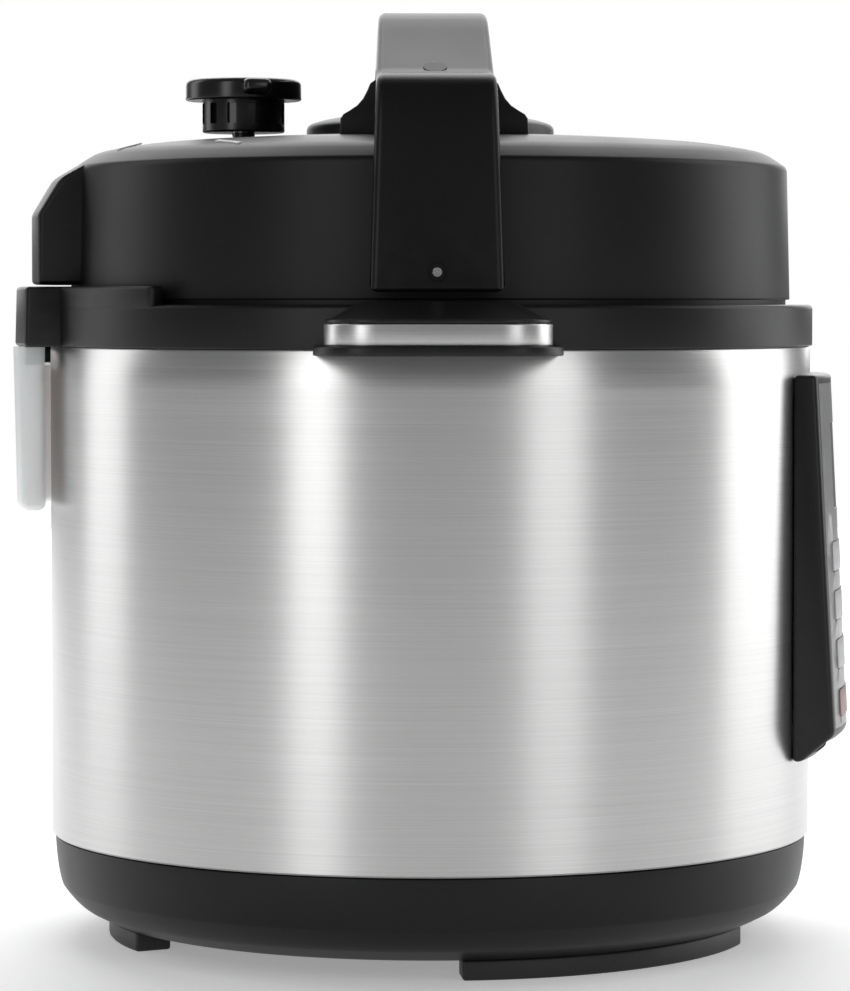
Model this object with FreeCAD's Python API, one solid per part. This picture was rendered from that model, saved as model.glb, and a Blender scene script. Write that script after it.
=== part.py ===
import FreeCAD, Part
import math

from FreeCAD import Vector

# Electric pressure cooker. Millimetres, +Z up. The origin is the centre of the footprint, on the
# plane of the feet. The control panel faces -Y, the condensation cup +Y, the side handles +X and -X.

# ---- driving dimensions ----
body_r = 135.0            # outside radius of the steel shell
foot_h = 6.7              # height of the feet
base_h = 30.3             # height of the moulded base above the feet
shell_h = 172.5           # height of the steel shell
collar_h = 14.5           # height of the plastic collar on top of the shell
rear_rise = 6.3           # how far the rear of the collar stands above the rest
lid_side_h = 46.2         # height of the upright side of the lid
dome_rise = 11.6          # rise of the lid's dome above its side
grip_h = 40.8             # top of the lid handle above the dome
handle_reach = 35.0       # reach of a side handle beyond the shell
panel_half_w = 52.9       # half the width of the control panel
panel_h = 134.0           # height of the control panel
pot_r = 111.5             # outside radius of the removable pot
pot_depth = 152.4         # height of the removable pot

# ---- walls and clearances ----
shell_wall = 0.7
moulding_wall = 2.6
pot_wall = 0.8
touch_gap = 0.3           # between pieces of different bodies
lid_gap = 1.7             # between the collar and the lid
running_gap = 0.06        # radial clearance of a shaft in its hole
key_gap = 0.35            # around each key

# ---- levels worked out from the driving dimensions ----
base_z = foot_h
shell_z = base_z + base_h
collar_z = shell_z + shell_h
rim_z = collar_z + collar_h
rear_z = rim_z + rear_rise
lid_z = rim_z + lid_gap
crease_z = lid_z + lid_side_h
dome_z = crease_z + dome_rise
grip_z = dome_z + grip_h
collar_r = body_r + 0.8
lid_r = body_r - 7.3

# ---- lid lock ----
lug_count = 12
lug_half_deg = 6.0
lug_pitch_deg = 360.0 / lug_count
flange_z = rim_z - 7.5            # underside of the inner housing's flange
flange_t = 1.5
lock_t = 2.5
lug_t = 2.7
lock_z = flange_z + flange_t
lug_z = lock_z - 1.8 - lug_t      # underside of the lid's lugs
housing_r = pot_r + 7.0           # inside radius of the inner housing
flare_r = housing_r + 6.5
lock_r_in = housing_r + 4.1
lock_r_lug = housing_r + 0.3
skirt_r = pot_r + 5.5             # inside radius of the lid plate's skirt
skirt_r_lug = skirt_r + 5.0


def cylinder(r, z0, z1, x=0.0, y=0.0):
    return Part.makeCylinder(r, z1 - z0, Vector(x, y, z0))


def tube(r_in, r_out, z0, z1, x=0.0, y=0.0):
    return cylinder(r_out, z0, z1, x, y).cut(cylinder(r_in, z0 - 1, z1 + 1, x, y))


def block(x0, x1, y0, y1, z0, z1):
    return Part.makeBox(x1 - x0, y1 - y0, z1 - z0, Vector(x0, y0, z0))


def face_of(points):
    return Part.Face(Part.makePolygon(points + [points[0]]))


def lathe(profile):
    """Turn a closed (radius, height) outline about the Z axis."""
    face = face_of([Vector(r, 0, z) for r, z in profile])
    return face.revolve(Vector(0, 0, 0), Vector(0, 0, 1), 360)


def wedge(centre_deg, half_deg, z0, z1, reach=400.0):
    """A pie slice about the Z axis; half_deg stays under 80."""
    side = reach / math.cos(math.radians(half_deg))
    points = [Vector(0, 0, z0)]
    for angle in (centre_deg - half_deg, centre_deg + half_deg):
        a = math.radians(angle)
        points.append(Vector(side * math.cos(a), side * math.sin(a), z0))
    return face_of(points).extrude(Vector(0, 0, z1 - z0))


def turned(shape, degrees):
    copy = shape.copy()
    copy.rotate(Vector(0, 0, 0), Vector(0, 0, 1), degrees)
    return copy


def mirrored_x(shape):
    return shape.mirror(Vector(0, 0, 0), Vector(1, 0, 0))


def union(shapes):
    return shapes[0].multiFuse(shapes[1:]) if len(shapes) > 1 else shapes[0]


def rounded_box(x0, x1, y0, y1, z0, z1, radius):
    """A box with its four upright edges rounded."""
    solid = block(x0, x1, y0, y1, z0, z1)
    upright = [e for e in solid.Edges if abs(e.Vertexes[0].Z - e.Vertexes[1].Z) > 1e-6]
    return solid.makeFillet(radius, upright)


def on_circle(r, angles):
    """Points on a circle about the Z axis, at angles in degrees."""
    return [(r * math.cos(math.radians(a)), r * math.sin(math.radians(a))) for a in angles]


def save(node, shape):
    if shape.ShapeType == "Compound" and len(shape.Solids) == 1:
        shape = shape.Solids[0]
    for solid in shape.Solids:
        if not solid.isValid() or solid.Volume <= 0:
            print("check", node)
    shape.exportStep("parts/" + node + ".step")


# ---- base, feet and shell ----
base_profile = [(body_r - 1.1, shell_z), (body_r - 1.6, base_z + 20.3), (body_r - 3.1, base_z + 13.3),
                (body_r - 8.4, base_z + 6.3), (body_r - 16.0, base_z + 1.8), (body_r - 20.0, base_z)]
hem_r = body_r - 6.0
inlet_face = body_r - 3.5
inlet_half_w = 15.0
inlet_z0 = base_z + 6.3
inlet_z1 = inlet_z0 + 20.5
inlet_depth = 22.0
inlet_rim = 2.5                   # frame of the base moulding round the inlet
socket_half_w = 12.25
socket_half_h = 8.5
socket_depth = 17.0
plate_r = 85.0                    # heating plate
plate_t = 14.3
plate_z = shell_z + 13.0
plate_top = plate_z + plate_t
sensor_r = 12.0
housing_z = shell_z + 6.0
housing_wall = 0.8
spring_plate_z = shell_z + 1.5
leg_circle_r = 72.0
leg_angles = (90.0, 210.0, 330.0)
board_z = base_z + 9.0
board_t = 1.6
board_x0 = -48.0
board_x1 = 48.0
board_y0 = -28.0
board_y1 = 28.0
screw_points = [(40.0, 22.0), (-40.0, 22.0), (-40.0, -22.0), (40.0, -22.0)]
case_screw_r = 95.0
case_screw_angles = (0.0, 180.0)
case_screw_shank_r = 1.9
case_screw_head_r = 3.4
case_screw_sink = 3.2             # depth of the hole that a case screw's head sits in
board_screw_r = 1.3
vent_rows = 9
vent_pitch = 8.0
vent_half_h = 1.5
vent_in_x = 52.0
vent_out_x = 75.0
foot_in_r = body_r - 33.0
foot_out_r = body_r - 20.0


def base_cover():
    outer = lathe([(0, shell_z)] + base_profile + [(0, base_z)])
    inner = [(r - moulding_wall, max(z, base_z + moulding_wall)) for r, z in base_profile]
    inner[0] = (inner[0][0], shell_z + 1)
    solid = outer.cut(lathe([(0, shell_z + 1)] + inner + [(0, base_z + moulding_wall)]))
    neck = tube(body_r - 6.6, body_r - 3.0, shell_z - 6.0, shell_z)
    solid = solid.multiFuse([neck, tube(body_r - 8.6, hem_r - 0.1, shell_z - 6.0, shell_z + 3.0)])
    posts = [cylinder(4.0, base_z + 1, board_z, x, y) for x, y in screw_points]
    posts += [cylinder(5.0, base_z + 1, shell_z, x, y)
              for x, y in on_circle(case_screw_r, case_screw_angles)]
    solid = solid.multiFuse(posts)
    for x, y in on_circle(case_screw_r, case_screw_angles):
        solid = solid.cut(cylinder(case_screw_head_r + 0.6, base_z - 1, base_z + case_screw_sink, x, y))
        solid = solid.cut(cylinder(case_screw_shank_r, base_z, shell_z + 1, x, y))
    for x, y in screw_points:
        solid = solid.cut(cylinder(board_screw_r, base_z + moulding_wall, board_z + 1, x, y))
    vents = []
    for row in range(vent_rows):
        y = vent_pitch * (row - (vent_rows - 1) / 2)
        for x0, x1 in ((-vent_out_x, -vent_in_x), (vent_in_x, vent_out_x)):
            vents.append(block(x0, x1, y - vent_half_h, y + vent_half_h,
                               base_z - 1, base_z + moulding_wall + 1))
    solid = solid.cut(union(vents))
    frame = block(inlet_face - inlet_depth - 3, inlet_face, -inlet_half_w - inlet_rim,
                  inlet_half_w + inlet_rim, inlet_z0 - inlet_rim, inlet_z1 + inlet_rim)
    hole = block(inlet_face - inlet_depth - 5, inlet_face + 9, -inlet_half_w, inlet_half_w,
                 inlet_z0, inlet_z1)
    return solid.fuse(frame).cut(hole).removeSplitter()


def case_screws():
    screws = []
    for x, y in on_circle(case_screw_r, case_screw_angles):
        screws.append(cylinder(case_screw_head_r, base_z + 0.8, base_z + case_screw_sink, x, y).fuse(
            cylinder(case_screw_shank_r, base_z + case_screw_sink, spring_plate_z, x, y)))
    for x, y in screw_points:
        screws.append(cylinder(board_screw_r, base_z + 4.0, board_z + board_t, x, y).fuse(
            cylinder(2.4, board_z + board_t, board_z + board_t + 1.8, x, y)))
    return Part.makeCompound(screws)


def foot(centre_deg, half_deg):
    return tube(foot_in_r, foot_out_r, 0, base_z).common(wedge(centre_deg, half_deg, -1, base_z + 1))


def power_inlet():
    outer = block(inlet_face - inlet_depth, inlet_face + 0.6, -inlet_half_w, inlet_half_w,
                  inlet_z0, inlet_z1)
    mid = (inlet_z0 + inlet_z1) / 2
    cavity = block(inlet_face - socket_depth, inlet_face + 2, -socket_half_w, socket_half_w,
                   mid - socket_half_h, mid + socket_half_h)
    solid = outer.cut(cavity)
    for y, z in inlet_pin_places():
        solid = solid.cut(block(inlet_face - inlet_depth - 1, inlet_face, y - 1, y + 1, z - 2, z + 2))
    return solid


def inlet_pin_places():
    mid = (inlet_z0 + inlet_z1) / 2
    return [(-7.0, mid - 2.0), (7.0, mid - 2.0), (0.0, mid + 2.0)]


def inlet_pins():
    pins = [block(inlet_face - inlet_depth - 8, inlet_face - 4, y - 1, y + 1, z - 2, z + 2)
            for y, z in inlet_pin_places()]
    return Part.makeCompound(pins)


# ---- control panel ----
panel_z = collar_z - 9.8 - panel_h
panel_top = panel_z + panel_h
panel_stand_top = 7.3             # how far the panel stands off the shell at its top
panel_stand_low = 14.1            # and at its foot
panel_chin = 9.3                  # height of the slope under the panel
chin_slope = 1.15
panel_wall = 2.2
face_t = 1.0
face_half_w = panel_half_w - 3.0
face_z0 = panel_z + panel_chin + 2.0
face_z1 = panel_top - 3.0
window_half_w = 33.0
window_z0 = panel_top - 47.0
window_z1 = panel_top - 17.0
panel_board_y = body_r - 6.0
panel_board_half_w = panel_half_w - 11.0
opening_half_w = panel_half_w - 6.0
key_column = 31.0
key_row_low = 36.5
key_row = 17.0
key_travel = 0.4
key_clear = 8.0                   # how deep a key's opening is cut

# each key: name, place across the panel, height above the panel's foot, half width, half height
keys = []
for row_number, row_name in enumerate(("low", "mid", "high")):
    for column_number, column_name in enumerate(("left", "centre", "right")):
        keys.append(("key_" + row_name + "_" + column_name, key_column * (column_number - 1),
                     key_row_low + key_row * row_number, 11.5, 5.0))
keys.append(("key_cancel", -23.5, 19.5, 19.0, 4.6))
keys.append(("key_start", 23.5, 19.5, 19.0, 4.6))
keys.append(("key_power", 0.0, panel_h - 9.5, 6.0, 3.6))


def panel_r(z):
    """Radius of the panel's face at a height."""
    share = (z - panel_z) / panel_h
    return body_r + panel_stand_low + (panel_stand_top - panel_stand_low) * share


def panel_cone(inset, z0, z1):
    """The solid inside the panel's face, moved in by inset."""
    chin_z = panel_z + panel_chin
    outline = [(0, z0), (panel_r(z0) - inset, z0)]
    if z0 < chin_z:
        outline = [(0, z0), (panel_r(chin_z) - inset - (chin_z - z0) * chin_slope, z0),
                   (panel_r(chin_z) - inset, chin_z)]
    return lathe(outline + [(panel_r(z1) - inset, z1), (0, z1)])


def panel_housing():
    box_outer = rounded_box(-panel_half_w, panel_half_w, -body_r - 40, -body_r + 60,
                            panel_z, panel_top, 1.5)
    outer = panel_cone(0, panel_z, panel_top).common(box_outer)
    w = panel_wall
    cavity = panel_cone(face_t + w, panel_z + w, panel_top - w).common(
        block(-panel_half_w + w, panel_half_w - w, -body_r - 40, 0, panel_z + w, panel_top - w))
    skin = panel_cone(-5, panel_z + 3, panel_top + 1).cut(panel_cone(face_t, panel_z + 3, panel_top + 1))
    recess = skin.common(block(-face_half_w, face_half_w, -body_r - 40, 0, face_z0, face_z1))
    solid = outer.cut(cavity).cut(recess).cut(cylinder(body_r, 0, collar_z))
    solid = solid.cut(window_block(0.0, panel_wall + face_t + 2))
    for key in keys:
        solid = solid.cut(key_hole(key))
    return solid


def key_frame(key):
    """Angle round the shell from the panel's centre line, in degrees, and the height of a key."""
    z = panel_z + key[2]
    return math.degrees(math.asin(key[1] / panel_r(z))), z


def key_block(key, grow, inner, outer):
    """A key's blank, square to the panel at the key's own place."""
    angle, z = key_frame(key)
    half_w = key[3] + grow
    half_h = key[4] + grow
    r = panel_r(z)
    blank = rounded_x(half_w, half_h, r - inner, r + outer, z)
    lean = math.degrees(math.atan((panel_stand_low - panel_stand_top) / panel_h))
    blank.rotate(Vector(0, -r, z), Vector(1, 0, 0), -lean)
    return turned(blank, angle)


def rounded_x(half_w, half_h, y0, y1, z):
    """A blank along -Y with its four long edges rounded."""
    solid = block(-half_w, half_w, -y1, -y0, z - half_h, z + half_h)
    edges = [e for e in solid.Edges if abs(e.Vertexes[0].Y - e.Vertexes[1].Y) > 1e-6]
    return solid.makeFillet(min(2.0, half_h / 2), edges)


def key_hole(key):
    return key_block(key, key_gap, key_clear, 4.0)


def key_cap(key):
    z0 = panel_z + key[2] - key[4] - 4
    z1 = panel_z + key[2] + key[4] + 4
    shell = panel_cone(-0.4, z0, z1).cut(panel_cone(face_t + panel_wall + 0.2, z0 - 1, z1 + 1))
    cap = shell.common(key_block(key, 0.0, key_clear, 4.0))
    return cap.fuse(stem_of(key)).removeSplitter()


def stem_of(key):
    """The plunger behind a key, which reaches its switch."""
    angle, z = key_frame(key)
    r = panel_r(z)
    stem = block(-1.5, 1.5, -(r - 1.0), -(r - face_t - panel_wall - 1.5), z - 1.5, z + 1.5)
    lean = math.degrees(math.atan((panel_stand_low - panel_stand_top) / panel_h))
    stem.rotate(Vector(0, -r, z), Vector(1, 0, 0), -lean)
    return turned(stem, angle)


def window_block(grow, depth):
    """The display window's place in the panel's face."""
    z0 = window_z0 - grow
    z1 = window_z1 + grow
    shell = panel_cone(-1.0, z0, z1).cut(panel_cone(depth, z0 - 1, z1 + 1))
    return shell.common(block(-window_half_w - grow, window_half_w + grow, -body_r - 40, 0, z0, z1))


def display_window():
    shell = panel_cone(0.2, window_z0, window_z1).cut(panel_cone(2.4, window_z0 - 1, window_z1 + 1))
    return shell.common(block(-window_half_w, window_half_w, -body_r - 40, 0, window_z0, window_z1))


def panel_face():
    skin = panel_cone(0, face_z0, face_z1).cut(panel_cone(face_t, face_z0 - 1, face_z1 + 1))
    solid = skin.common(block(-face_half_w, face_half_w, -body_r - 40, 0, face_z0, face_z1))
    solid = solid.cut(window_block(0.0, 6.0))
    for key in keys:
        solid = solid.cut(key_hole(key))
    return solid


def panel_board():
    board = block(-panel_board_half_w, panel_board_half_w, -panel_board_y, -panel_board_y + board_t,
                  panel_z + 12, panel_top - 5)
    screen = block(-window_half_w + 3, window_half_w - 3, -panel_board_y - 4.0, -panel_board_y,
                   window_z0 + 3, window_z1 - 3)
    return board.fuse(screen)


def key_switches():
    """One switch body behind each key, carried on the panel board."""
    switches = []
    for key in keys:
        angle, z = key_frame(key)
        r_out = panel_r(z) - face_t - panel_wall - 1.5 - key_travel - 0.2
        x = key[1] * 0.88
        reach = math.sqrt(max(r_out * r_out - (abs(x) + 3.0) ** 2, 0.0)) - 0.3
        switches.append(block(x - 3, x + 3, -reach, -panel_board_y, z - 3, z + 3))
    return Part.makeCompound(switches)


def outer_shell():
    wall = tube(body_r - shell_wall, body_r, shell_z, collar_z)
    hem = tube(hem_r, body_r - 0.1, shell_z, shell_z + shell_wall)
    opening = block(-opening_half_w, opening_half_w, -body_r - 5, -body_r + 40, panel_z + 6, panel_top - 4)
    return wall.fuse(hem).cut(opening)


# ---- collar and side handles ----
rear_half_deg = 46.0
rear_half_w = 43.2
rear_reach = body_r + 12.4
arm_half_w = 26.0
arm_in_w = 15.0
arm_reach = body_r + 24.0
lip_half_w = 40.2
trim_half_w = 36.7
trim_t = 0.8
trim_h = 7.2
lip_z = collar_z - 2.0
trim_z = lip_z + 3.3
handle_top = trim_z + trim_h + 1.5
lip_reach = body_r + handle_reach
corner_r = 20.0
trim_reach = lip_reach - 3.5
trim_corner_r = corner_r - 3.0
ramp_top_half_w = 24.8            # half width of a side handle's ramp where it meets the collar
rail_x = 26.0                     # rails that carry the condensation cup
rail_drop = 6.5
rail_end = body_r + 7.2
cup_half_w = 36.0
cup_wall = 1.6
cup_depth = 57.0
cup_in_r = body_r + 4.0
cup_out_r = body_r + 13.1


def collar():
    ring = lathe([(body_r - 0.9, collar_z - 6), (body_r - 0.9, collar_z), (collar_r, collar_z),
                  (collar_r, rim_z - 1.2), (collar_r - 1.0, rim_z), (body_r - 4.7, rim_z),
                  (body_r - 4.7, flange_z), (flare_r + 0.5, flange_z), (flare_r + 0.5, flange_z - 3),
                  (body_r - 3.4, flange_z - 3), (body_r - 3.4, collar_z - 6)])
    back = tube(body_r - 4.7, collar_r, rim_z - 1.3, rear_z).common(wedge(90, rear_half_deg, 0, rear_z + 1))
    rear = cylinder(rear_reach, collar_z, rear_z).common(
        block(-rear_half_w, rear_half_w, 0, rear_reach + 5, collar_z, rear_z)).cut(
        cylinder(body_r - 0.5, collar_z - 1, rear_z + 1))
    solid = ring.multiFuse([back, rear])
    rails = []
    for side in (-1, 1):
        web = block(min(side * rail_x, side * (rail_x + 2)), max(side * rail_x, side * (rail_x + 2)),
                    body_r + 0.6, rail_end, collar_z - rail_drop, collar_z + 1)
        foot_x = (side * (rail_x + 1), side * (rail_x + 5))
        flange = block(min(foot_x), max(foot_x), body_r + 0.6, rail_end,
                       collar_z - rail_drop, collar_z - rail_drop + 1.5)
        rails += [web, flange]
    solid = solid.multiFuse(rails)
    solid = solid.cut(cylinder(body_r, 0, collar_z).cut(cylinder(body_r - 0.9, -1, collar_z + 1)))
    solid = solid.cut(cylinder(2.5, collar_z - 1, rear_z + 1, 0, body_r + 6.5))
    arms = []
    for side in (-1, 1):
        for y in (-1, 1):
            arm = block(body_r - 2, arm_reach, arm_in_w, arm_half_w, handle_top - 6.5, handle_top - 3.5)
            arm = arm.cut(cylinder(body_r - 0.5, 0, rim_z + 20))
            arm = arm if side > 0 else mirrored_x(arm)
            arm = arm if y > 0 else arm.mirror(Vector(0, 0, 0), Vector(0, 1, 0))
            arms.append(arm)
    solid = solid.multiFuse(arms)
    for x, y in handle_screw_places():
        solid = solid.cut(cylinder(1.6, handle_top - 8, handle_top - 2, x, y))
    return solid


def handle_screw_places():
    y = (arm_in_w + arm_half_w) / 2
    x = arm_reach - 7.0
    return [(x, y), (x, -y), (-x, y), (-x, -y)]


def handle_blank(half_w, reach, z0, z1, radius):
    """The plan shape of a side handle, outside the collar."""
    solid = block(0, reach, -half_w, half_w, z0, z1)
    corners = [e for e in solid.Edges if abs(e.Vertexes[0].Z - e.Vertexes[1].Z) > 1e-6
               and e.Vertexes[0].X > 1]
    return solid.makeFillet(radius, corners).cut(cylinder(collar_r, z0 - 1, z1 + 1))


def handle_cover():
    top_z = trim_z + trim_h
    lip = handle_blank(lip_half_w, lip_reach, lip_z, trim_z, corner_r)
    core = handle_blank(trim_half_w - trim_t, trim_reach - trim_t, trim_z - 0.5, top_z,
                        trim_corner_r - trim_t)
    cap = handle_blank(trim_half_w - 0.3, trim_reach - 0.3, top_z, handle_top, trim_corner_r)
    ramp_profile = [Vector(0, 0, handle_top - 0.5), Vector(lip_reach - 9, 0, handle_top - 0.5),
                    Vector(lip_reach - 9, 0, handle_top), Vector(collar_r + 5, 0, rim_z + 1.0),
                    Vector(0, 0, rim_z + 1.0)]
    ramp = face_of(ramp_profile).extrude(Vector(0, 2 * trim_half_w, 0))
    ramp.translate(Vector(0, -trim_half_w, 0))
    taper = (trim_half_w - 3 - ramp_top_half_w) / (rim_z + 1.0 - handle_top)
    wide = trim_half_w - 3 + taper * 2.0
    narrow = ramp_top_half_w - taper * 2.0
    trapezoid = [Vector(0, -wide, handle_top - 2), Vector(0, wide, handle_top - 2),
                 Vector(0, narrow, rim_z + 3.0), Vector(0, -narrow, rim_z + 3.0)]
    tapered = face_of(trapezoid).extrude(Vector(lip_reach, 0, 0))
    ramp = ramp.common(tapered).cut(cylinder(collar_r, 0, rim_z + 20))
    solid = lip.multiFuse([core, cap, ramp])
    pocket = handle_blank(trim_half_w - trim_t - 3.0, lip_reach - 8.0, lip_z - 1, handle_top - 3.5,
                          corner_r - 7)
    solid = solid.cut(pocket)
    solid = solid.cut(cylinder(collar_r, 0, rim_z + 20))
    for x, y in handle_screw_places():
        if x > 0:
            solid = solid.cut(cylinder(1.4, handle_top - 5, handle_top - 1.5, x, y))
    return solid


def handle_trim():
    outer = handle_blank(trim_half_w, trim_reach, trim_z, trim_z + trim_h, trim_corner_r)
    inner = handle_blank(trim_half_w - trim_t, trim_reach - trim_t, trim_z - 1, trim_z + trim_h + 1,
                         trim_corner_r - trim_t)
    return outer.cut(inner)


def handle_screws():
    screws = []
    for x, y in handle_screw_places():
        screws.append(cylinder(3.0, handle_top - 8.5, handle_top - 6.5, x, y).fuse(
            cylinder(1.4, handle_top - 6.5, handle_top - 1.5, x, y)))
    return Part.makeCompound(screws)


def condensate_cup():
    z1 = collar_z - touch_gap
    z0 = collar_z - cup_depth
    r_in = cup_in_r
    r_out = cup_out_r
    outer = lathe([(r_in + 0.5, z0), (r_out - 1.2, z0), (r_out, z1), (r_in, z1)])
    outer = outer.common(block(-cup_half_w, cup_half_w, 60, r_out + 5, z0, z1))
    w = cup_wall
    inner = lathe([(r_in + w + 0.3, z0 + w), (r_out - 1.2 - w, z0 + w), (r_out - w, z1 + 1),
                   (r_in + w, z1 + 1)])
    inner = inner.common(block(-cup_half_w + w, cup_half_w - w, 60, r_out + 5, z0 + w, z1 + 1))
    solid = outer.cut(inner)
    low_back = cylinder(r_in + w + 0.4, collar_z - rail_drop - 1.0, z1 + 1).common(
        block(-cup_half_w + w, cup_half_w - w, 60, r_out, collar_z - rail_drop - 1.0, z1 + 1))
    solid = solid.cut(low_back)
    lips = []
    for side in (-1, 1):
        xs = (side * (rail_x + 2.4), side * (cup_half_w - w + 0.2))
        shelf = block(min(xs), max(xs), 60, r_out, collar_z - rail_drop + 2.0, collar_z - rail_drop + 3.4)
        band = cylinder(r_out - 0.6, 0, z1).cut(cylinder(r_in, -1, z1 + 1))
        lips.append(shelf.common(band))
    return solid.multiFuse(lips)


# ---- inner housing, heater and sensor ----
element_r = 60.0
element_wire_r = 3.2
element_end_angles = (-8.0, 8.0)
end_hole_r = 4.5                  # holes that the element's ends pass through
leg_r = 3.5
centre_hole_r = 16.0
spring_plate_t = 1.5
spring_wire_r = 0.7
spring_coil_r = 7.0
spring_turns = 5


def outer_pot():
    w = housing_wall
    r = housing_r
    profile = [(16.0, housing_z), (r + w, housing_z), (r + w, flange_z - 13.5), (flare_r, flange_z - 9.5),
               (flare_r, flange_z), (body_r - 5.0, flange_z), (body_r - 5.0, flange_z + flange_t),
               (flare_r - w, flange_z + flange_t), (flare_r - w, flange_z - 9.0), (r, flange_z - 13.0),
               (r, housing_z + w), (16.0, housing_z + w)]
    solid = lathe(profile)
    for x, y in on_circle(leg_circle_r, leg_angles):
        solid = solid.cut(cylinder(leg_r + 0.5, 0, housing_z + 3, x, y))
    for x, y in on_circle(element_r, element_end_angles):
        solid = solid.cut(cylinder(end_hole_r, 0, housing_z + 3, x, y))
    return solid


def heating_plate():
    solid = lathe([(sensor_r + 4.0, plate_z), (plate_r, plate_z), (plate_r, plate_top - 3.0),
                   (plate_r - 3.0, plate_top), (sensor_r + 4.0, plate_top)])
    groove = tube(element_r - element_wire_r, element_r + element_wire_r, plate_z - 1,
                  plate_z + 2.5 + 2 * element_wire_r)
    legs = [cylinder(leg_r, spring_plate_z + spring_plate_t, plate_z + 1, x, y)
            for x, y in on_circle(leg_circle_r, leg_angles)]
    return solid.cut(groove).multiFuse(legs)


def heating_element():
    ring = Part.makeTorus(element_r, element_wire_r - 0.1, Vector(0, 0, plate_z + 2.4 + element_wire_r))
    ends = [cylinder(2.2, shell_z - 3, plate_z + 2.4 + element_wire_r, x, y)
            for x, y in on_circle(element_r, element_end_angles)]
    return ring.multiFuse(ends)


def pressure_spring_plate():
    top = spring_plate_z + spring_plate_t
    arms = block(-case_screw_r - 6, case_screw_r + 6, -9, 9, spring_plate_z, top)
    solid = cylinder(plate_r - 5.0, spring_plate_z, top).fuse(arms)
    solid = solid.cut(cylinder(centre_hole_r, 0, top + 1))
    for x, y in on_circle(element_r, element_end_angles):
        solid = solid.cut(cylinder(end_hole_r, 0, top + 1, x, y))
    return solid


def pressure_switch():
    return block(-12, 12, -62, -48, spring_plate_z - 10, spring_plate_z).fuse(
        cylinder(2.5, spring_plate_z - 14, spring_plate_z - 9, 0, -55))


def thermal_fuse():
    return Part.makeCylinder(2.6, 16, Vector(-8, 40, spring_plate_z - 2.6), Vector(1, 0, 0))


def power_board():
    board = block(board_x0, board_x1, board_y0, board_y1, board_z, board_z + board_t)
    for x, y in screw_points:
        board = board.cut(cylinder(1.5, board_z - 1, board_z + 3, x, y))
    return board


def power_components():
    top = board_z + board_t
    parts = [block(-30, -12, -20, 8, top, top + 14), block(0, 15, -20, 0, top, top + 15),
             cylinder(6.0, top, top + 16, 28, 12), cylinder(4.0, top, top + 12, 28, -8),
             block(-8, 12, 8, 22, top, top + 10)]
    return Part.makeCompound(parts)


def sensor_cap():
    top = cylinder(sensor_r, plate_top - 2.0, plate_top)
    return top.fuse(tube(sensor_r - 1.0, sensor_r, plate_top - 8.0, plate_top - 1.9)).fuse(
        cylinder(3.0, plate_top - 10.0, plate_top - 1.9))


def sensor_spring():
    """A coil spring from the sensor's bracket up to the sensor's cap."""
    low = spring_plate_z + 2 * spring_plate_t
    rise = plate_top - 2.0 - low - 2 * spring_wire_r
    coil = Part.makeHelix(rise / spring_turns, rise, spring_coil_r)
    ring = []
    for i in range(13):
        a = math.radians(30.0 * i)
        ring.append(Vector(spring_coil_r + spring_wire_r * math.cos(a), 0, spring_wire_r * math.sin(a)))
    spring = Part.Wire(coil.Edges).makePipeShell([Part.makePolygon(ring)], True, True)
    spring.translate(Vector(0, 0, low + spring_wire_r))
    return spring


def sensor_bracket():
    """The cup under the sensor that its spring stands in."""
    z0 = spring_plate_z
    solid = cylinder(15.8, z0, z0 + 1.5).fuse(tube(14.0, 15.8, z0, plate_z + 2.0))
    lug = tube(8.5, 10.0, z0 + 1.4, z0 + 7.0)
    return solid.fuse(lug).fuse(cylinder(8.6, z0 + 1.4, z0 + 3.0))


# ---- removable pot ----
def inner_pot():
    z0 = plate_top + touch_gap
    z1 = z0 + pot_depth
    r = pot_r
    w = pot_wall
    base_t = 2.5
    corner = 9.0
    profile = [(0, z0), (r - corner, z0), (r - 2.6, z0 + 2.6), (r, z0 + corner), (r, z1 - 3.0),
               (r + 3.8, z1 - 2.8), (r + 4.7, z1 - 1.9), (r + 4.7, z1 - 0.8), (r + 3.8, z1),
               (r, z1), (r - w, z1 - 1.0), (r - w, z0 + corner), (r - w - 2.6, z0 + 2.6 + 1.2),
               (r - w - corner + 1.0, z0 + base_t), (0, z0 + base_t)]
    return lathe(profile)


# ---- lid ----
lid_wall = 2.8
plate_level = lid_z + 1.3
plate_disc_t = 1.2
lid_profile = [(lid_r, lid_z), (lid_r - 1.1, crease_z), (lid_r - 8.9, crease_z + 5.5),
               (lid_r - 19.7, crease_z + 7.6), (lid_r - 33.2, crease_z + 8.9),
               (lid_r / 2 + 3.65, crease_z + 10.5), (0, dome_z)]
rear_lid_half_w = 36.9
rear_lid_reach = body_r + 6.4
valve_places = {"knob": (-16.0, 66.0), "float": (22.0, 66.0)}
post_angles = (30.0, 150.0, 210.0, 330.0)
post_r = pot_r - 26.5
stud_r = 4.0
pipe_r = 4.0
float_r = 3.0
float_travel = 4.5
handle_pin_r = 1.5
pin_z = lid_z + 8.9
pin_recess_r = 3.25
boss_r = 44.0
seal_z = plate_top + touch_gap + pot_depth + touch_gap
seal_top = plate_level - touch_gap
seal_in_r = skirt_r - 14.0
rack_wire_r = 1.4
rack_r = seal_in_r - 2.4
shield_r = min(13.0, rack_r - rack_wire_r - math.hypot(*valve_places["knob"]) - 0.5)


def lid_envelope(inset=0.0):
    points = [(max(r - inset, 0), z - inset) for r, z in lid_profile]
    if inset:
        points[0] = (points[0][0], lid_z - 1)
    return lathe([(0, points[0][1])] + points)


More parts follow.
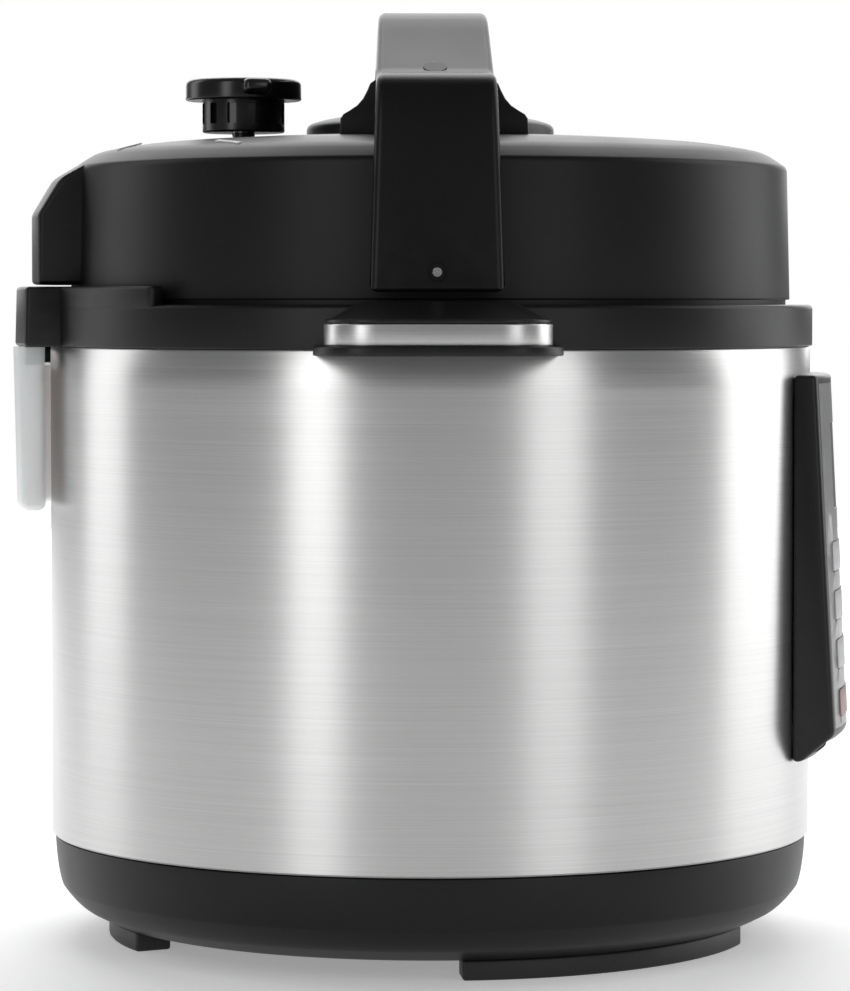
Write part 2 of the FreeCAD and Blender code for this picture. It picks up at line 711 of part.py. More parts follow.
def rear_bulge(inset):
    """The upright block at the back of the lid, above the collar's own block."""
    z0 = rear_z + 0.7 + inset
    reach = rear_lid_reach - inset
    outline = [(lid_r - 22, z0), (reach, z0), (reach, z0 + 24.4 - 1.6 * inset),
               (reach - 7.5, crease_z - 4.0 - inset), (reach - 18.5, crease_z + 2.0 - inset),
               (lid_r - 22, crease_z + 2.0 - inset)]
    half_w = rear_lid_half_w - inset
    return lathe(outline).common(block(-half_w, half_w, 0, reach + 5, z0 - 1, crease_z + 20))


def lid_cover():
    solid = lid_envelope().fuse(rear_bulge(0.0))
    solid = solid.cut(lid_envelope(lid_wall)).cut(rear_bulge(2.4))
    inner = lid_envelope(lid_wall - 0.2)
    plate_top_z = plate_level + plate_disc_t
    posts = [cylinder(4.0, plate_top_z, dome_z, x, y) for x, y in on_circle(post_r, post_angles)]
    posts.append(tube(stud_r + 0.3, 9.0, plate_top_z, dome_z))
    solid = solid.fuse(union([post.common(inner) for post in posts]))
    for x, y in on_circle(post_r, post_angles):
        solid = solid.cut(cylinder(1.5, plate_top_z - 1, plate_top_z + 14, x, y))
    kx, ky = valve_places["knob"]
    fx, fy = valve_places["float"]
    solid = solid.cut(cylinder(stud_r + 0.3, lid_z, dome_z + 5))
    solid = solid.cut(cylinder(pipe_r + 0.4, lid_z, dome_z + 5, kx, ky))
    solid = solid.cut(cylinder(float_r + 1.5, lid_z, dome_z + 5, fx, fy))
    for pin in handle_pin_cutters(handle_pin_r):
        solid = solid.cut(pin)
    return solid


def lid_plate():
    z0 = plate_level
    solid = cylinder(lid_r - 2.9, z0, z0 + plate_disc_t)
    solid = solid.fuse(tube(skirt_r, skirt_r + 1.0, lug_z, z0 + 0.5))
    lug_ring = tube(skirt_r + 0.5, skirt_r_lug, lug_z, lug_z + lug_t)
    lugs = [lug_ring.common(wedge(lug_pitch_deg * (i + 0.5), lug_half_deg, lug_z - 1, z0))
            for i in range(lug_count)]
    solid = solid.multiFuse(lugs)
    solid = solid.fuse(cylinder(stud_r, z0 + 0.5, dome_z + 5.5))
    kx, ky = valve_places["knob"]
    fx, fy = valve_places["float"]
    solid = solid.cut(cylinder(pipe_r, z0 - 1, z0 + 5, kx, ky))
    solid = solid.cut(cylinder(float_r + 0.35, z0 - 1, z0 + 5, fx, fy))
    for x, y in on_circle(post_r, post_angles):
        solid = solid.cut(cylinder(1.5, z0 - 1, z0 + 3, x, y))
    return solid


def lock_ring():
    solid = tube(lock_r_in, body_r - 5.0, lock_z, lock_z + lock_t)
    lug_ring = tube(lock_r_lug, lock_r_in + 0.5, lock_z, lock_z + lock_t)
    lugs = [lug_ring.common(wedge(lug_pitch_deg * i, lug_half_deg, lock_z - 1, lock_z + 9))
            for i in range(lug_count)]
    return solid.multiFuse(lugs)


def lid_screws():
    screws = []
    for x, y in on_circle(post_r, post_angles):
        screws.append(cylinder(3.0, plate_level - 2.0, plate_level, x, y).fuse(
            cylinder(1.5, plate_level - 0.1, plate_level + 12.0, x, y)))
    return Part.makeCompound(screws)


def sealing_ring():
    """Silicone ring between the pot's rim and the lid plate: a body with a sealing lip."""
    r_out = skirt_r - touch_gap
    r_in = seal_in_r
    return lathe([(r_in, seal_z + 2.0), (r_in + 4.0, seal_z), (r_out, seal_z), (r_out, seal_top),
                  (r_in + 2.0, seal_top), (r_in, seal_top - 2.0)])


def ring_rack():
    ring = Part.makeTorus(rack_r, rack_wire_r, Vector(0, 0, seal_z + 3.0))
    posts = [cylinder(1.3, seal_z + 3.0, plate_level, x, y)
             for x, y in on_circle(rack_r, (15.0, 75.0, 135.0, 195.0, 255.0, 315.0))]
    return ring.multiFuse(posts)


def steam_pipe():
    kx, ky = valve_places["knob"]
    bore = cylinder(1.6, 0, grip_z, kx, ky)
    return cylinder(pipe_r, plate_level - 1.0, dome_z + 6.0, kx, ky).fuse(
        cylinder(pipe_r + 2.0, plate_level - 2.2, plate_level, kx, ky)).cut(bore)


def anti_block_shield():
    kx, ky = valve_places["knob"]
    z0 = plate_level - 19.0
    z1 = plate_level - 2.3
    solid = cylinder(shield_r, z0, z1, kx, ky).cut(cylinder(shield_r - 0.8, z0 + 0.8, z1 + 1, kx, ky))
    for i in range(8):
        a = math.radians(45.0 * i)
        slot = cylinder(1.8, z0 - 1, z0 + 2, kx + 7.5 * math.cos(a), ky + 7.5 * math.sin(a))
        solid = solid.cut(slot)
    rim = tube(pipe_r + 2.0, shield_r, z1 - 0.8, z1, kx, ky)
    neck = tube(pipe_r + 2.0, pipe_r + 3.0, z1 - 0.8, plate_level, kx, ky)
    return solid.multiFuse([rim, neck])


def float_valve():
    fx, fy = valve_places["float"]
    solid = cylinder(float_r, plate_level - 9.0, dome_z - 2.5, fx, fy)
    return solid.fuse(cylinder(float_r + 3.5, plate_level - 9.0, plate_level - 7.0, fx, fy))


def float_seal():
    fx, fy = valve_places["float"]
    return tube(float_r, float_r + 4.5, plate_level - 7.0, plate_level - float_travel - 0.6, fx, fy)


def lid_nut():
    """Hexagonal nut that clamps the cover to the plate's stud."""
    points = [Vector(7.5 * math.cos(math.radians(60 * i)), 7.5 * math.sin(math.radians(60 * i)), dome_z)
              for i in range(6)]
    return face_of(points).extrude(Vector(0, 0, 5.0)).cut(cylinder(stud_r, 0, grip_z))


def lid_boss():
    """The low round cap under the grip, over the lid's central nut."""
    outer = lathe([(0, dome_z - 3), (boss_r, dome_z - 3), (boss_r, dome_z + 3.0),
                   (boss_r - 1.2, dome_z + 4.4), (boss_r - 5.0, dome_z + 5.6),
                   (boss_r - 12.0, dome_z + 7.0), (18.0, dome_z + 8.6), (0, dome_z + 9.2)])
    cavity = cylinder(boss_r - 12.0, 0, dome_z + 5.8)
    return outer.cut(cavity).cut(lid_envelope())


# ---- lid handle ----
strap_x = body_r - 1.5            # outer face of the straps at their foot
strap_z = lid_z + 2.5
grip_half = 55.0                  # half the length of the grip's flat top
gap_half = 46.0                   # half the length of the finger gap
gap_z = grip_z - 21.0             # underside of the grip
ramp_top = (grip_half + 7.0, grip_z - 4.4)
ramp_foot = (98.0, dome_z + 17.0)
handle_foot_w = 43.8
handle_mid_w = 39.5
handle_top_w = 37.3
plug_r = 4.0
plug_t = 3.0
foot_flare_x = gap_half + 5.5     # where the grip's flared feet start
foot_flare_l = 26.0


def handle_outline():
    right = [(strap_x, strap_z), (strap_x - 4.0, crease_z + 17.1), (strap_x - 6.8, crease_z + 24.0),
             (strap_x - 14.5, dome_z + 15.9), ramp_foot, ramp_top, (grip_half, grip_z - 0.7),
             (grip_half - 10, grip_z)]
    left = [(-x, z) for x, z in reversed(right)]
    return right + left


def lid_handle():
    """The bridge: its outline as seen from the side, cut to the taper that is seen from the front."""
    outline = [Vector(x, 0, z) for x, z in handle_outline()]
    solid = face_of(outline).extrude(Vector(0, handle_foot_w + 20, 0))
    solid.translate(Vector(0, -(handle_foot_w + 20) / 2, 0))
    side_view = [(-handle_foot_w / 2, strap_z), (-handle_mid_w / 2, crease_z + 27.0),
                 (-handle_top_w / 2, grip_z - 7.0), (-handle_top_w / 2 + 1.8, grip_z - 2.4),
                 (-handle_top_w / 2 + 6.5, grip_z)]
    section = side_view + [(-y, z) for y, z in reversed(side_view)]
    taper = face_of([Vector(-strap_x - 10, y, z) for y, z in section])
    solid = solid.common(taper.extrude(Vector(2 * strap_x + 20, 0, 0)))
    right = [(gap_half + 6, dome_z - 8), (gap_half + 5, dome_z + 1), (gap_half, gap_z - 3),
             (gap_half - 4, gap_z)]
    left = [(-x, z) for x, z in reversed(right)]
    gap = face_of([Vector(x, 0, z) for x, z in right + left]).extrude(Vector(0, 80, 0))
    gap.translate(Vector(0, -40, 0))
    half_flare = [(32.0, dome_z - 6), (31.6, dome_z + 3.5), (29.5, dome_z + 5.6), (26.5, dome_z + 7.4),
                  (23.5, dome_z + 10.5), (21.5, dome_z + 14.5), (19.0, dome_z + 17.0)]
    flare = half_flare + [(-y, z) for y, z in reversed(half_flare)]
    feet = []
    for side in (-1, 1):
        start = face_of([Vector(side * foot_flare_x, y, z) for y, z in flare])
        feet.append(start.extrude(Vector(side * foot_flare_l, 0, 0)))
    solid = solid.cut(gap).multiFuse(feet).cut(lid_envelope())
    for pin in handle_pin_cutters(handle_pin_r) + handle_pin_recesses():
        solid = solid.cut(pin)
    for plug in handle_plug_solids():
        solid = solid.cut(plug)
    return solid


def handle_pin_cutters(radius):
    return [Part.makeCylinder(radius, 8.0, Vector(side * (lid_r - 2.0), 0, pin_z), Vector(side, 0, 0))
            for side in (-1, 1)]


def handle_pin_recesses():
    return [Part.makeCylinder(pin_recess_r, 9.0, Vector(side * (strap_x - 2.4), 0, pin_z),
                              Vector(side, 0, 0)) for side in (-1, 1)]


def handle_pins():
    return Part.makeCompound([
        Part.makeCylinder(handle_pin_r, 6.6, Vector(side * (lid_r - 2.0), 0, pin_z), Vector(side, 0, 0))
        for side in (-1, 1)])


def handle_plug_solids():
    run_x = ramp_foot[0] - ramp_top[0]
    run_z = ramp_top[1] - ramp_foot[1]
    length = math.hypot(run_x, run_z)
    share = 0.13
    x = ramp_foot[0] - run_x * share
    z = ramp_foot[1] + run_z * share
    plugs = []
    for side in (-1, 1):
        normal = Vector(side * run_z / length, 0, run_x / length)
        start = Vector(side * x, 0, z) - normal * plug_t
        plugs.append(Part.makeCylinder(plug_r, plug_t + 0.4, start, normal))
    return plugs


# ---- steam release knob ----
knob_r = 20.4
knob_stem_r = 14.5
knob_top = dome_z + 19.4
knob_disc_t = 7.4


def steam_release_knob():
    kx, ky = valve_places["knob"]
    low = dome_z + 0.8
    disc_z = knob_top - knob_disc_t
    disc = Part.makeCylinder(knob_r, knob_disc_t, Vector(kx, ky, disc_z))
    disc = disc.makeFillet(1.6, disc.Edges)
    stem = cylinder(knob_stem_r, low, disc_z + 1, kx, ky)
    for i in range(12):
        slot = block(kx + knob_stem_r - 1.4, kx + knob_stem_r + 2, ky - 1.5, ky + 1.5,
                     low + 3.0, disc_z - 1.0)
        slot.rotate(Vector(kx, ky, 0), Vector(0, 0, 1), 30.0 * i + 15)
        stem = stem.cut(slot)
    nub = block(kx - knob_r - 5.0, kx - 4.0, ky - 5.0, ky + 5.0, disc_z + 2.0, knob_top - 1.0)
    nub = nub.makeFillet(1.8, nub.Edges)
    solid = disc.multiFuse([stem, nub])
    return solid.cut(cylinder(pipe_r + running_gap, low - 1, dome_z + 6.5, kx, ky))


save("base_cover", base_cover())
save("foot_front_left", foot(270 - 52.6, 33))
save("foot_front_right", foot(270 + 52.6, 33))
save("foot_rear", foot(90, 27))
save("base_screws", case_screws())
save("power_inlet", power_inlet())
save("inlet_pins", inlet_pins())
save("outer_shell", outer_shell())
save("panel_housing", panel_housing())
save("panel_face", panel_face())
save("display_window", display_window())
save("panel_board", panel_board())
save("key_switches", key_switches())
for key_spec in keys:
    save(key_spec[0], key_cap(key_spec))
save("collar", collar())
right_cover = handle_cover()
right_trim = handle_trim()
save("handle_cover_right", right_cover)
save("handle_cover_left", mirrored_x(right_cover))
save("handle_trim_right", right_trim)
save("handle_trim_left", mirrored_x(right_trim))
save("handle_screws", handle_screws())
save("condensate_cup", condensate_cup())
save("outer_pot", outer_pot())
save("lock_ring", lock_ring())
save("heating_plate", heating_plate())
save("heating_element", heating_element())
save("pressure_spring_plate", pressure_spring_plate())
save("pressure_switch", pressure_switch())
save("thermal_fuse", thermal_fuse())
save("power_board", power_board())
save("power_components", power_components())
save("sensor_cap", sensor_cap())
save("sensor_spring", sensor_spring())
save("sensor_bracket", sensor_bracket())
save("inner_pot", inner_pot())
save("lid_cover", lid_cover())
save("lid_handle", lid_handle())
save("lid_boss", lid_boss())
save("handle_pins", handle_pins())
save("handle_plugs", Part.makeCompound(handle_plug_solids()))
save("lid_plate", lid_plate())
save("sealing_ring", sealing_ring())
save("ring_rack", ring_rack())
save("steam_pipe", steam_pipe())
save("anti_block_shield", anti_block_shield())
save("lid_nut", lid_nut())
save("lid_screws", lid_screws())
save("steam_release_knob", steam_release_knob())
save("float_valve", float_valve())
save("float_seal", float_seal())
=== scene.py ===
import bpy
import bmesh
import math
from mathutils import Matrix, Vector


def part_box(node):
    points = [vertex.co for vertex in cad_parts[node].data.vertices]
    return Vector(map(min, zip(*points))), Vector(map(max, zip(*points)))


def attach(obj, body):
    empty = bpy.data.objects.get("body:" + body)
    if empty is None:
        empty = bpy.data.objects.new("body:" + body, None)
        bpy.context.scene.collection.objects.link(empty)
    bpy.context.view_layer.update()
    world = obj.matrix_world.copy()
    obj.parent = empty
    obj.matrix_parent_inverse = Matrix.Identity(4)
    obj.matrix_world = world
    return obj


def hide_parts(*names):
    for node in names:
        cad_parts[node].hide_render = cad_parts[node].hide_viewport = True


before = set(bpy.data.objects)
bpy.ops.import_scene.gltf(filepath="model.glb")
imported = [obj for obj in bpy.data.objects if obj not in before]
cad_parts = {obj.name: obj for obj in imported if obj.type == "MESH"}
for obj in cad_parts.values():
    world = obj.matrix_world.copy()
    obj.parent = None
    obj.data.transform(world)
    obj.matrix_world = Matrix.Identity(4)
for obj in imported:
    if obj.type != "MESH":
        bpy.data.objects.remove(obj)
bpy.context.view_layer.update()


# ---- the room ----
# A pale floor in a plain white room, with tall soft lights on both sides of the cooker, as in a
# small studio. The camera stands level with the collar, a metre and a half away.

mm = 0.001
drum_low, drum_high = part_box("outer_shell")
drum_r = drum_high.x
eye_distance = 10.8 * drum_r
eye_height = 0.2248
eye_azimuth = math.radians(269.0)
eye_pitch = math.radians(2.71)
eye_yaw = math.radians(0.073)
drum_middle = 0.16


def show(name, data):
    """Put a mesh, a light or a camera in the scene under a name."""
    thing = bpy.data.objects.new(name, data)
    bpy.context.scene.collection.objects.link(thing)
    return thing


camera_data = bpy.data.cameras.new("camera")
camera_data.sensor_width = 36.0
camera_data.lens = 148.25
camera_data.clip_end = 20.0
camera = show("camera", camera_data)
camera.location = (math.sin(eye_azimuth) * eye_distance, -math.cos(eye_azimuth) * eye_distance, eye_height)
camera.rotation_euler = (math.radians(90.0) - eye_pitch, 0.0, eye_azimuth + eye_yaw)
bpy.context.scene.camera = camera
bpy.context.scene.view_settings.view_transform = "Standard"

floor_mesh = bmesh.new()
bmesh.ops.create_grid(floor_mesh, x_segments=1, y_segments=1, size=2.6)
floor_data = bpy.data.meshes.new("floor")
floor_mesh.to_mesh(floor_data)
floor_mesh.free()
floor = show("floor", floor_data)

floor_material = bpy.data.materials.new("pale_floor")
floor_material.use_nodes = True
floor_shader = floor_material.node_tree.nodes["Principled BSDF"]
floor_shader.inputs["Base Color"].default_value = (0.93, 0.93, 0.93, 1.0)
floor_shader.inputs["Roughness"].default_value = 0.7
floor_shader.inputs["Emission Color"].default_value = (1.0, 1.0, 1.0, 1.0)
floor_shader.inputs["Emission Strength"].default_value = 0.3
floor_data.materials.append(floor_material)

world = bpy.data.worlds.new("room")
bpy.context.scene.world = world
world.use_nodes = True
room = world.node_tree
room.nodes.clear()
room_out = room.nodes.new("ShaderNodeOutputWorld")
room_mix = room.nodes.new("ShaderNodeMixShader")
room_path = room.nodes.new("ShaderNodeLightPath")
room_seen = room.nodes.new("ShaderNodeBackground")
room_lit = room.nodes.new("ShaderNodeBackground")
room_seen.inputs["Color"].default_value = (1.0, 1.0, 1.0, 1.0)
room_lit.inputs["Color"].default_value = (0.98, 0.99, 1.0, 1.0)
room_lit.inputs["Strength"].default_value = 0.20
room.links.new(room_path.outputs["Is Camera Ray"], room_mix.inputs["Fac"])
room.links.new(room_lit.outputs[0], room_mix.inputs[1])
room.links.new(room_seen.outputs[0], room_mix.inputs[2])
room.links.new(room_mix.outputs[0], room_out.inputs["Surface"])


def soft_light(name, bearing, distance, height, width, tall, power):
    """A tall soft box, at a bearing in degrees from the camera's side of the cooker, aimed at the drum."""
    data = bpy.data.lights.new(name, "AREA")
    data.shape = "RECTANGLE"
    data.size = width
    data.size_y = tall
    data.energy = power
    light = show(name, data)
    angle = math.radians(bearing)
    light.location = (-math.cos(angle) * distance, -math.sin(angle) * distance, height)
    aim = Vector((0.0, 0.0, drum_middle)) - light.location
    light.rotation_euler = aim.to_track_quat("-Z", "Y").to_euler()
    light.visible_camera = False


soft_light("light_near_left", -34.0, 2.2, 0.5, 0.60, 2.2, 10.2)
soft_light("light_near_right", 35.0, 2.2, 0.5, 0.70, 2.2, 7.4)
soft_light("light_far_right", 112.0, 2.2, 0.75, 1.5, 2.4, 24.0)
soft_light("light_far_left", -112.0, 2.2, 0.75, 0.9, 2.4, 11.0)
soft_light("light_behind", 180.0, 2.9, 1.5, 3.4, 2.6, 60.0)
soft_light("light_above", 180.0, 1.3, 2.1, 1.8, 1.0, 17.0)


# ---- base moulding ----
# A black polypropylene tub, injection moulded with a fine spark-eroded grain. Its side rolls under
# to a flat underside with vent slots, and two screws hold it up against the works above.

def group(name, inputs, outputs):
    """A new shader node group with its sockets; inputs and outputs are (name, kind, default)."""
    tree = bpy.data.node_groups.new(name, "ShaderNodeTree")
    for label, kind, value in inputs:
        socket = tree.interface.new_socket(label, in_out="INPUT", socket_type="NodeSocket" + kind)
        if value is not None:
            socket.default_value = value
    for label, kind in outputs:
        tree.interface.new_socket(label, in_out="OUTPUT", socket_type="NodeSocket" + kind)
    return tree, tree.nodes.new("NodeGroupInput"), tree.nodes.new("NodeGroupOutput")


def add(tree, kind, **values):
    """A node with its sockets set by name and its settings by attribute."""
    node = tree.nodes.new("ShaderNode" + kind)
    for key, value in values.items():
        label = key.replace("_", " ")
        if label in node.inputs:
            node.inputs[label].default_value = value
        else:
            setattr(node, key, value)
    return node


def ramp(tree, source, low, high, low_value=0.0, high_value=1.0):
    """Spread a 0 to 1 value between two new limits."""
    node = add(tree, "MapRange")
    tree.links.new(source, node.inputs["Value"])
    for label, value in (("From Min", low), ("From Max", high), ("To Min", low_value), ("To Max", high_value)):
        node.inputs[label].default_value = value
    return node.outputs["Result"]


def combine(tree, operation, *sources):
    """A sum on one to three values, each a socket or a plain number."""
    node = add(tree, "Math", operation=operation)
    for socket, source in zip(node.inputs, sources):
        if isinstance(source, float):
            socket.default_value = source
        else:
            tree.links.new(source, socket)
    return node.outputs[0]


def wire(tree, *pairs):
    """Join pairs of sockets, each from the first to the second."""
    for source, target in pairs:
        tree.links.new(source, target)


# fine moulded or cast grain, from two sizes of noise
grain, grain_in, grain_out = group(
    "moulded_grain",
    [("Grain per metre", "Float", 2600.0), ("Depth", "Float", 0.12), ("Roughness", "Float", 0.4),
     ("Spread", "Float", 0.08)],
    [("Roughness", "Float"), ("Normal", "Vector")])
grain_at = add(grain, "TexCoord")
grain_fine = add(grain, "TexNoise", Detail=3.0)
grain_broad = add(grain, "TexNoise", Scale=38.0, Detail=4.0)
grain_bump = add(grain, "Bump", Distance=0.00012)
grain_centre = combine(grain, "SUBTRACT", grain_broad.outputs["Fac"], 0.5)
grain_gloss = combine(grain, "MULTIPLY_ADD", grain_centre, grain_in.outputs["Spread"],
                      grain_in.outputs["Roughness"])
wire(grain,
     (grain_at.outputs["Object"], grain_fine.inputs["Vector"]),
     (grain_at.outputs["Object"], grain_broad.inputs["Vector"]),
     (grain_in.outputs["Grain per metre"], grain_fine.inputs["Scale"]),
     (grain_in.outputs["Depth"], grain_bump.inputs["Strength"]),
     (grain_fine.outputs["Fac"], grain_bump.inputs["Height"]),
     (grain_bump.outputs["Normal"], grain_out.inputs["Normal"]),
     (grain_gloss, grain_out.inputs["Roughness"]))

# edges rubbed paler by handling
wear, wear_in, wear_out = group(
    "edge_wear",
    [("Colour", "Color", (0.0, 0.0, 0.0, 1.0)), ("Worn", "Color", (0.1, 0.1, 0.1, 1.0)),
     ("Amount", "Float", 0.35)],
    [("Colour", "Color")])
wear_shape = add(wear, "NewGeometry")
wear_at = add(wear, "TexCoord")
wear_noise = add(wear, "TexNoise", Scale=160.0, Detail=5.0)
wear_edge = ramp(wear, wear_shape.outputs["Pointiness"], 0.52, 0.60)
wear_patch = ramp(wear, wear_noise.outputs["Fac"], 0.42, 0.66)
wear_both = combine(wear, "MULTIPLY", wear_edge, wear_patch)
wear_mask = combine(wear, "MULTIPLY", wear_both, wear_in.outputs["Amount"])
wear_mix = add(wear, "Mix", data_type="RGBA")
mix_factor, mix_first, mix_second, mix_result = 0, 6, 7, 2
wire(wear,
     (wear_at.outputs["Object"], wear_noise.inputs["Vector"]),
     (wear_mask, wear_mix.inputs[mix_factor]),
     (wear_in.outputs["Colour"], wear_mix.inputs[mix_first]),
     (wear_in.outputs["Worn"], wear_mix.inputs[mix_second]),
     (wear_mix.outputs[mix_result], wear_out.inputs["Colour"]))


def place(tree, shader_group, **values):
    """A group node in a material, with its own values."""
    node = tree.nodes.new("ShaderNodeGroup")
    node.node_tree = shader_group
    for key, value in values.items():
        node.inputs[key.replace("_", " ")].default_value = value
    return node


def plastic(name, colour, worn, roughness, grain_size, depth, specular=0.5, amount=0.35):
    """A moulded plastic or rubber: grained, slightly uneven in gloss, paler along rubbed edges."""
    material = bpy.data.materials.new(name)
    material.use_nodes = True
    tree = material.node_tree
    shader = tree.nodes["Principled BSDF"]
    surface = place(tree, grain, Grain_per_metre=grain_size, Depth=depth, Roughness=roughness, Spread=0.10)
    edges = place(tree, wear, Colour=(*colour, 1.0), Worn=(*worn, 1.0), Amount=amount)
    wire(tree,
         (surface.outputs["Roughness"], shader.inputs["Roughness"]),
         (surface.outputs["Normal"], shader.inputs["Normal"]),
         (edges.outputs["Colour"], shader.inputs["Base Color"]))
    shader.inputs["Specular IOR Level"].default_value = specular
    return material


def outline(points, flat="xz"):
    """A face drawn from (x, z, corner radius) points, or lying flat from (x, y, corner radius) ones."""
    bm = bmesh.new()
    verts = []
    for point in points:
        where = (point[0] * mm, 0.0, point[1] * mm) if flat == "xz" else (point[0] * mm, point[1] * mm, 0.0)
        verts.append(bm.verts.new(where))
    bm.faces.new(verts)
    for vert, point in zip(verts, points):
        if len(point) > 2 and point[2]:
            bmesh.ops.bevel(bm, geom=[vert], offset=point[2] * mm, offset_type="OFFSET", segments=5,
                            profile=0.5, affect="VERTICES", material=-1)
    return bm


def piece(bm, name, material, body, slot, *nodes, sharp=32.0, bevel=0.0, segments=3):
    """Finish a mesh as a piece of the cooker: its shading, its material, and the body it rides on."""
    bmesh.ops.remove_doubles(bm, verts=bm.verts, dist=1e-6)
    bmesh.ops.recalc_face_normals(bm, faces=bm.faces)
    if bevel:
        edges = [e for e in bm.edges if len(e.link_faces) == 2 and e.calc_face_angle(0.0) > math.radians(sharp)]
        bmesh.ops.bevel(bm, geom=edges, offset=bevel * mm, offset_type="OFFSET", segments=segments,
                        profile=0.5, affect="EDGES", clamp_overlap=True, material=-1)
    data = bpy.data.meshes.new(name)
    bm.to_mesh(data)
    bm.free()
    data.shade_smooth()
    data.set_sharp_from_angle(angle=math.radians(sharp))
    data.materials.append(material)
    result = show(name, data)
    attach(result, body)
    if nodes:
        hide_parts(*nodes)
    return result


def swing(bm, degrees):
    """Swing a mesh round the upright axis."""
    turned_by = Matrix.Rotation(math.radians(degrees), 3, "Z")
    bmesh.ops.rotate(bm, verts=bm.verts, cent=(0, 0, 0), matrix=turned_by)


def spun(points, steps=180, start=0.0, sweep=360.0):
    """Turn a closed (radius, height, corner radius) outline about the cooker's axis."""
    bm = outline(points)
    if sweep == 360.0:
        bmesh.ops.delete(bm, geom=list(bm.faces), context="FACES_KEEP_BOUNDARY")
        bmesh.ops.spin(bm, geom=list(bm.edges), axis=(0, 0, 1), cent=(0, 0, 0), angle=math.tau, steps=steps,
                       use_merge=True)
        return bm
    swing(bm, start)
    bmesh.ops.spin(bm, geom=list(bm.faces), axis=(0, 0, 1), cent=(0, 0, 0), angle=math.radians(sweep),
                   steps=steps)
    return bm


def cut_away(target, cutters):
    """Cut meshes out of a piece for good."""
    for cutter in cutters:
        data = bpy.data.meshes.new("cutter")
        cutter.to_mesh(data)
        cutter.free()
        tool = show("cutter", data)
        change = target.modifiers.new("cut", "BOOLEAN")
        change.operation = "DIFFERENCE"
        change.solver = "EXACT"
        change.object = tool
        bpy.context.view_layer.update()
        done = bpy.data.meshes.new_from_object(target.evaluated_get(bpy.context.evaluated_depsgraph_get()))
        target.modifiers.clear()
        old = target.data
        target.data = done
        bpy.data.meshes.remove(old)
        bpy.data.objects.remove(tool)
        bpy.data.meshes.remove(data)
    target.data.set_sharp_from_angle(angle=math.radians(32.0))


def cuboid(x0, x1, y0, y1, z0, z1):
    """A box between limits in millimetres."""
    bm = bmesh.new()
    size = Vector(((x1 - x0) * mm, (y1 - y0) * mm, (z1 - z0) * mm))
    centre = Vector(((x0 + x1) / 2 * mm, (y0 + y1) / 2 * mm, (z0 + z1) / 2 * mm))
    bmesh.ops.create_cube(bm, size=1.0, matrix=Matrix.Translation(centre) @ Matrix.Diagonal((*size, 1.0)))
    return bm


def rod(radius, length, middle, tilt=Matrix(), sides=40):
    """A round bar for drilling a hole, its sizes in millimetres and the place of its middle in metres."""
    bm = bmesh.new()
    bmesh.ops.create_cone(bm, cap_ends=True, segments=sides, radius1=radius * mm, radius2=radius * mm,
                          depth=length * mm, matrix=Matrix.Translation(middle) @ tilt)
    return bm


drum = drum_r / mm
foot_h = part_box("base_cover")[0].z / mm
shell_low = drum_low.z / mm
shell_top = drum_high.z / mm
wall = 2.6

base_plastic = plastic("base_plastic", (0.0045, 0.0045, 0.0048), (0.03, 0.03, 0.03), 0.40, 2400.0, 0.16,
                       specular=0.28)
base = piece(spun([
    (0.0, foot_h), (drum - 20.0, foot_h, 2.0), (drum - 15.5, foot_h + 2.0, 5.0), (drum - 7.6, foot_h + 6.2, 7.0),
    (drum - 3.0, foot_h + 13.0, 5.0), (drum - 1.5, foot_h + 22.0, 4.0), (drum - 1.1, shell_low - 0.25, 0.5),
    (drum - 6.0, shell_low - 0.25), (drum - 6.0, shell_low + 3.0), (drum - 8.4, shell_low + 3.0),
    (drum - 8.4, foot_h + 22.0), (drum - 12.0, foot_h + 9.0, 4.0), (drum - 19.0, foot_h + wall, 2.0),
    (0.0, foot_h + wall)]), "base_moulding", base_plastic, "cooker", "body_plastic", "base_cover")
openings = []
for row in range(9):
    y = -32.0 + 8.0 * row
    for x in (-63.5, 63.5):
        openings.append(cuboid(x - 11.5, x + 11.5, y - 1.5, y + 1.5, foot_h - 1, foot_h + wall + 1))
socket_low, socket_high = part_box("power_inlet")
openings.append(cuboid(socket_low.x / mm - 2, socket_high.x / mm + 9, socket_low.y / mm - 0.1,
                       socket_high.y / mm + 0.1, socket_low.z / mm - 0.1, socket_high.z / mm + 0.1))
for x in (-95.0, 95.0):
    openings.append(rod(4.0, 8.0, (x * mm, 0.0, foot_h * mm), sides=28))
cut_away(base, openings)


# ---- inlet surround ----
# The mains inlet is a heat-proof socket pushed into a raised frame that is moulded on the side of
# the base. Its three plated blades stand in the opening.

inlet_rim = 2.5
surround = piece(cuboid(drum - 28.5, drum - 3.5,
                        socket_low.y / mm - inlet_rim, socket_high.y / mm + inlet_rim,
                        socket_low.z / mm - inlet_rim, socket_high.z / mm + inlet_rim),
                 "inlet_surround", base_plastic, "cooker", "body_plastic", bevel=0.8)
cut_away(surround, [cuboid(drum - 35.0, drum + 5.0, socket_low.y / mm - 0.05, socket_high.y / mm + 0.05,
                           socket_low.z / mm - 0.05, socket_high.z / mm + 0.05)])


# ---- feet ----
# Three curved pads of the same black plastic, moulded with a softened lower edge, that lift the
# base clear of the worktop. The front pair are long arcs and the rear one is short.

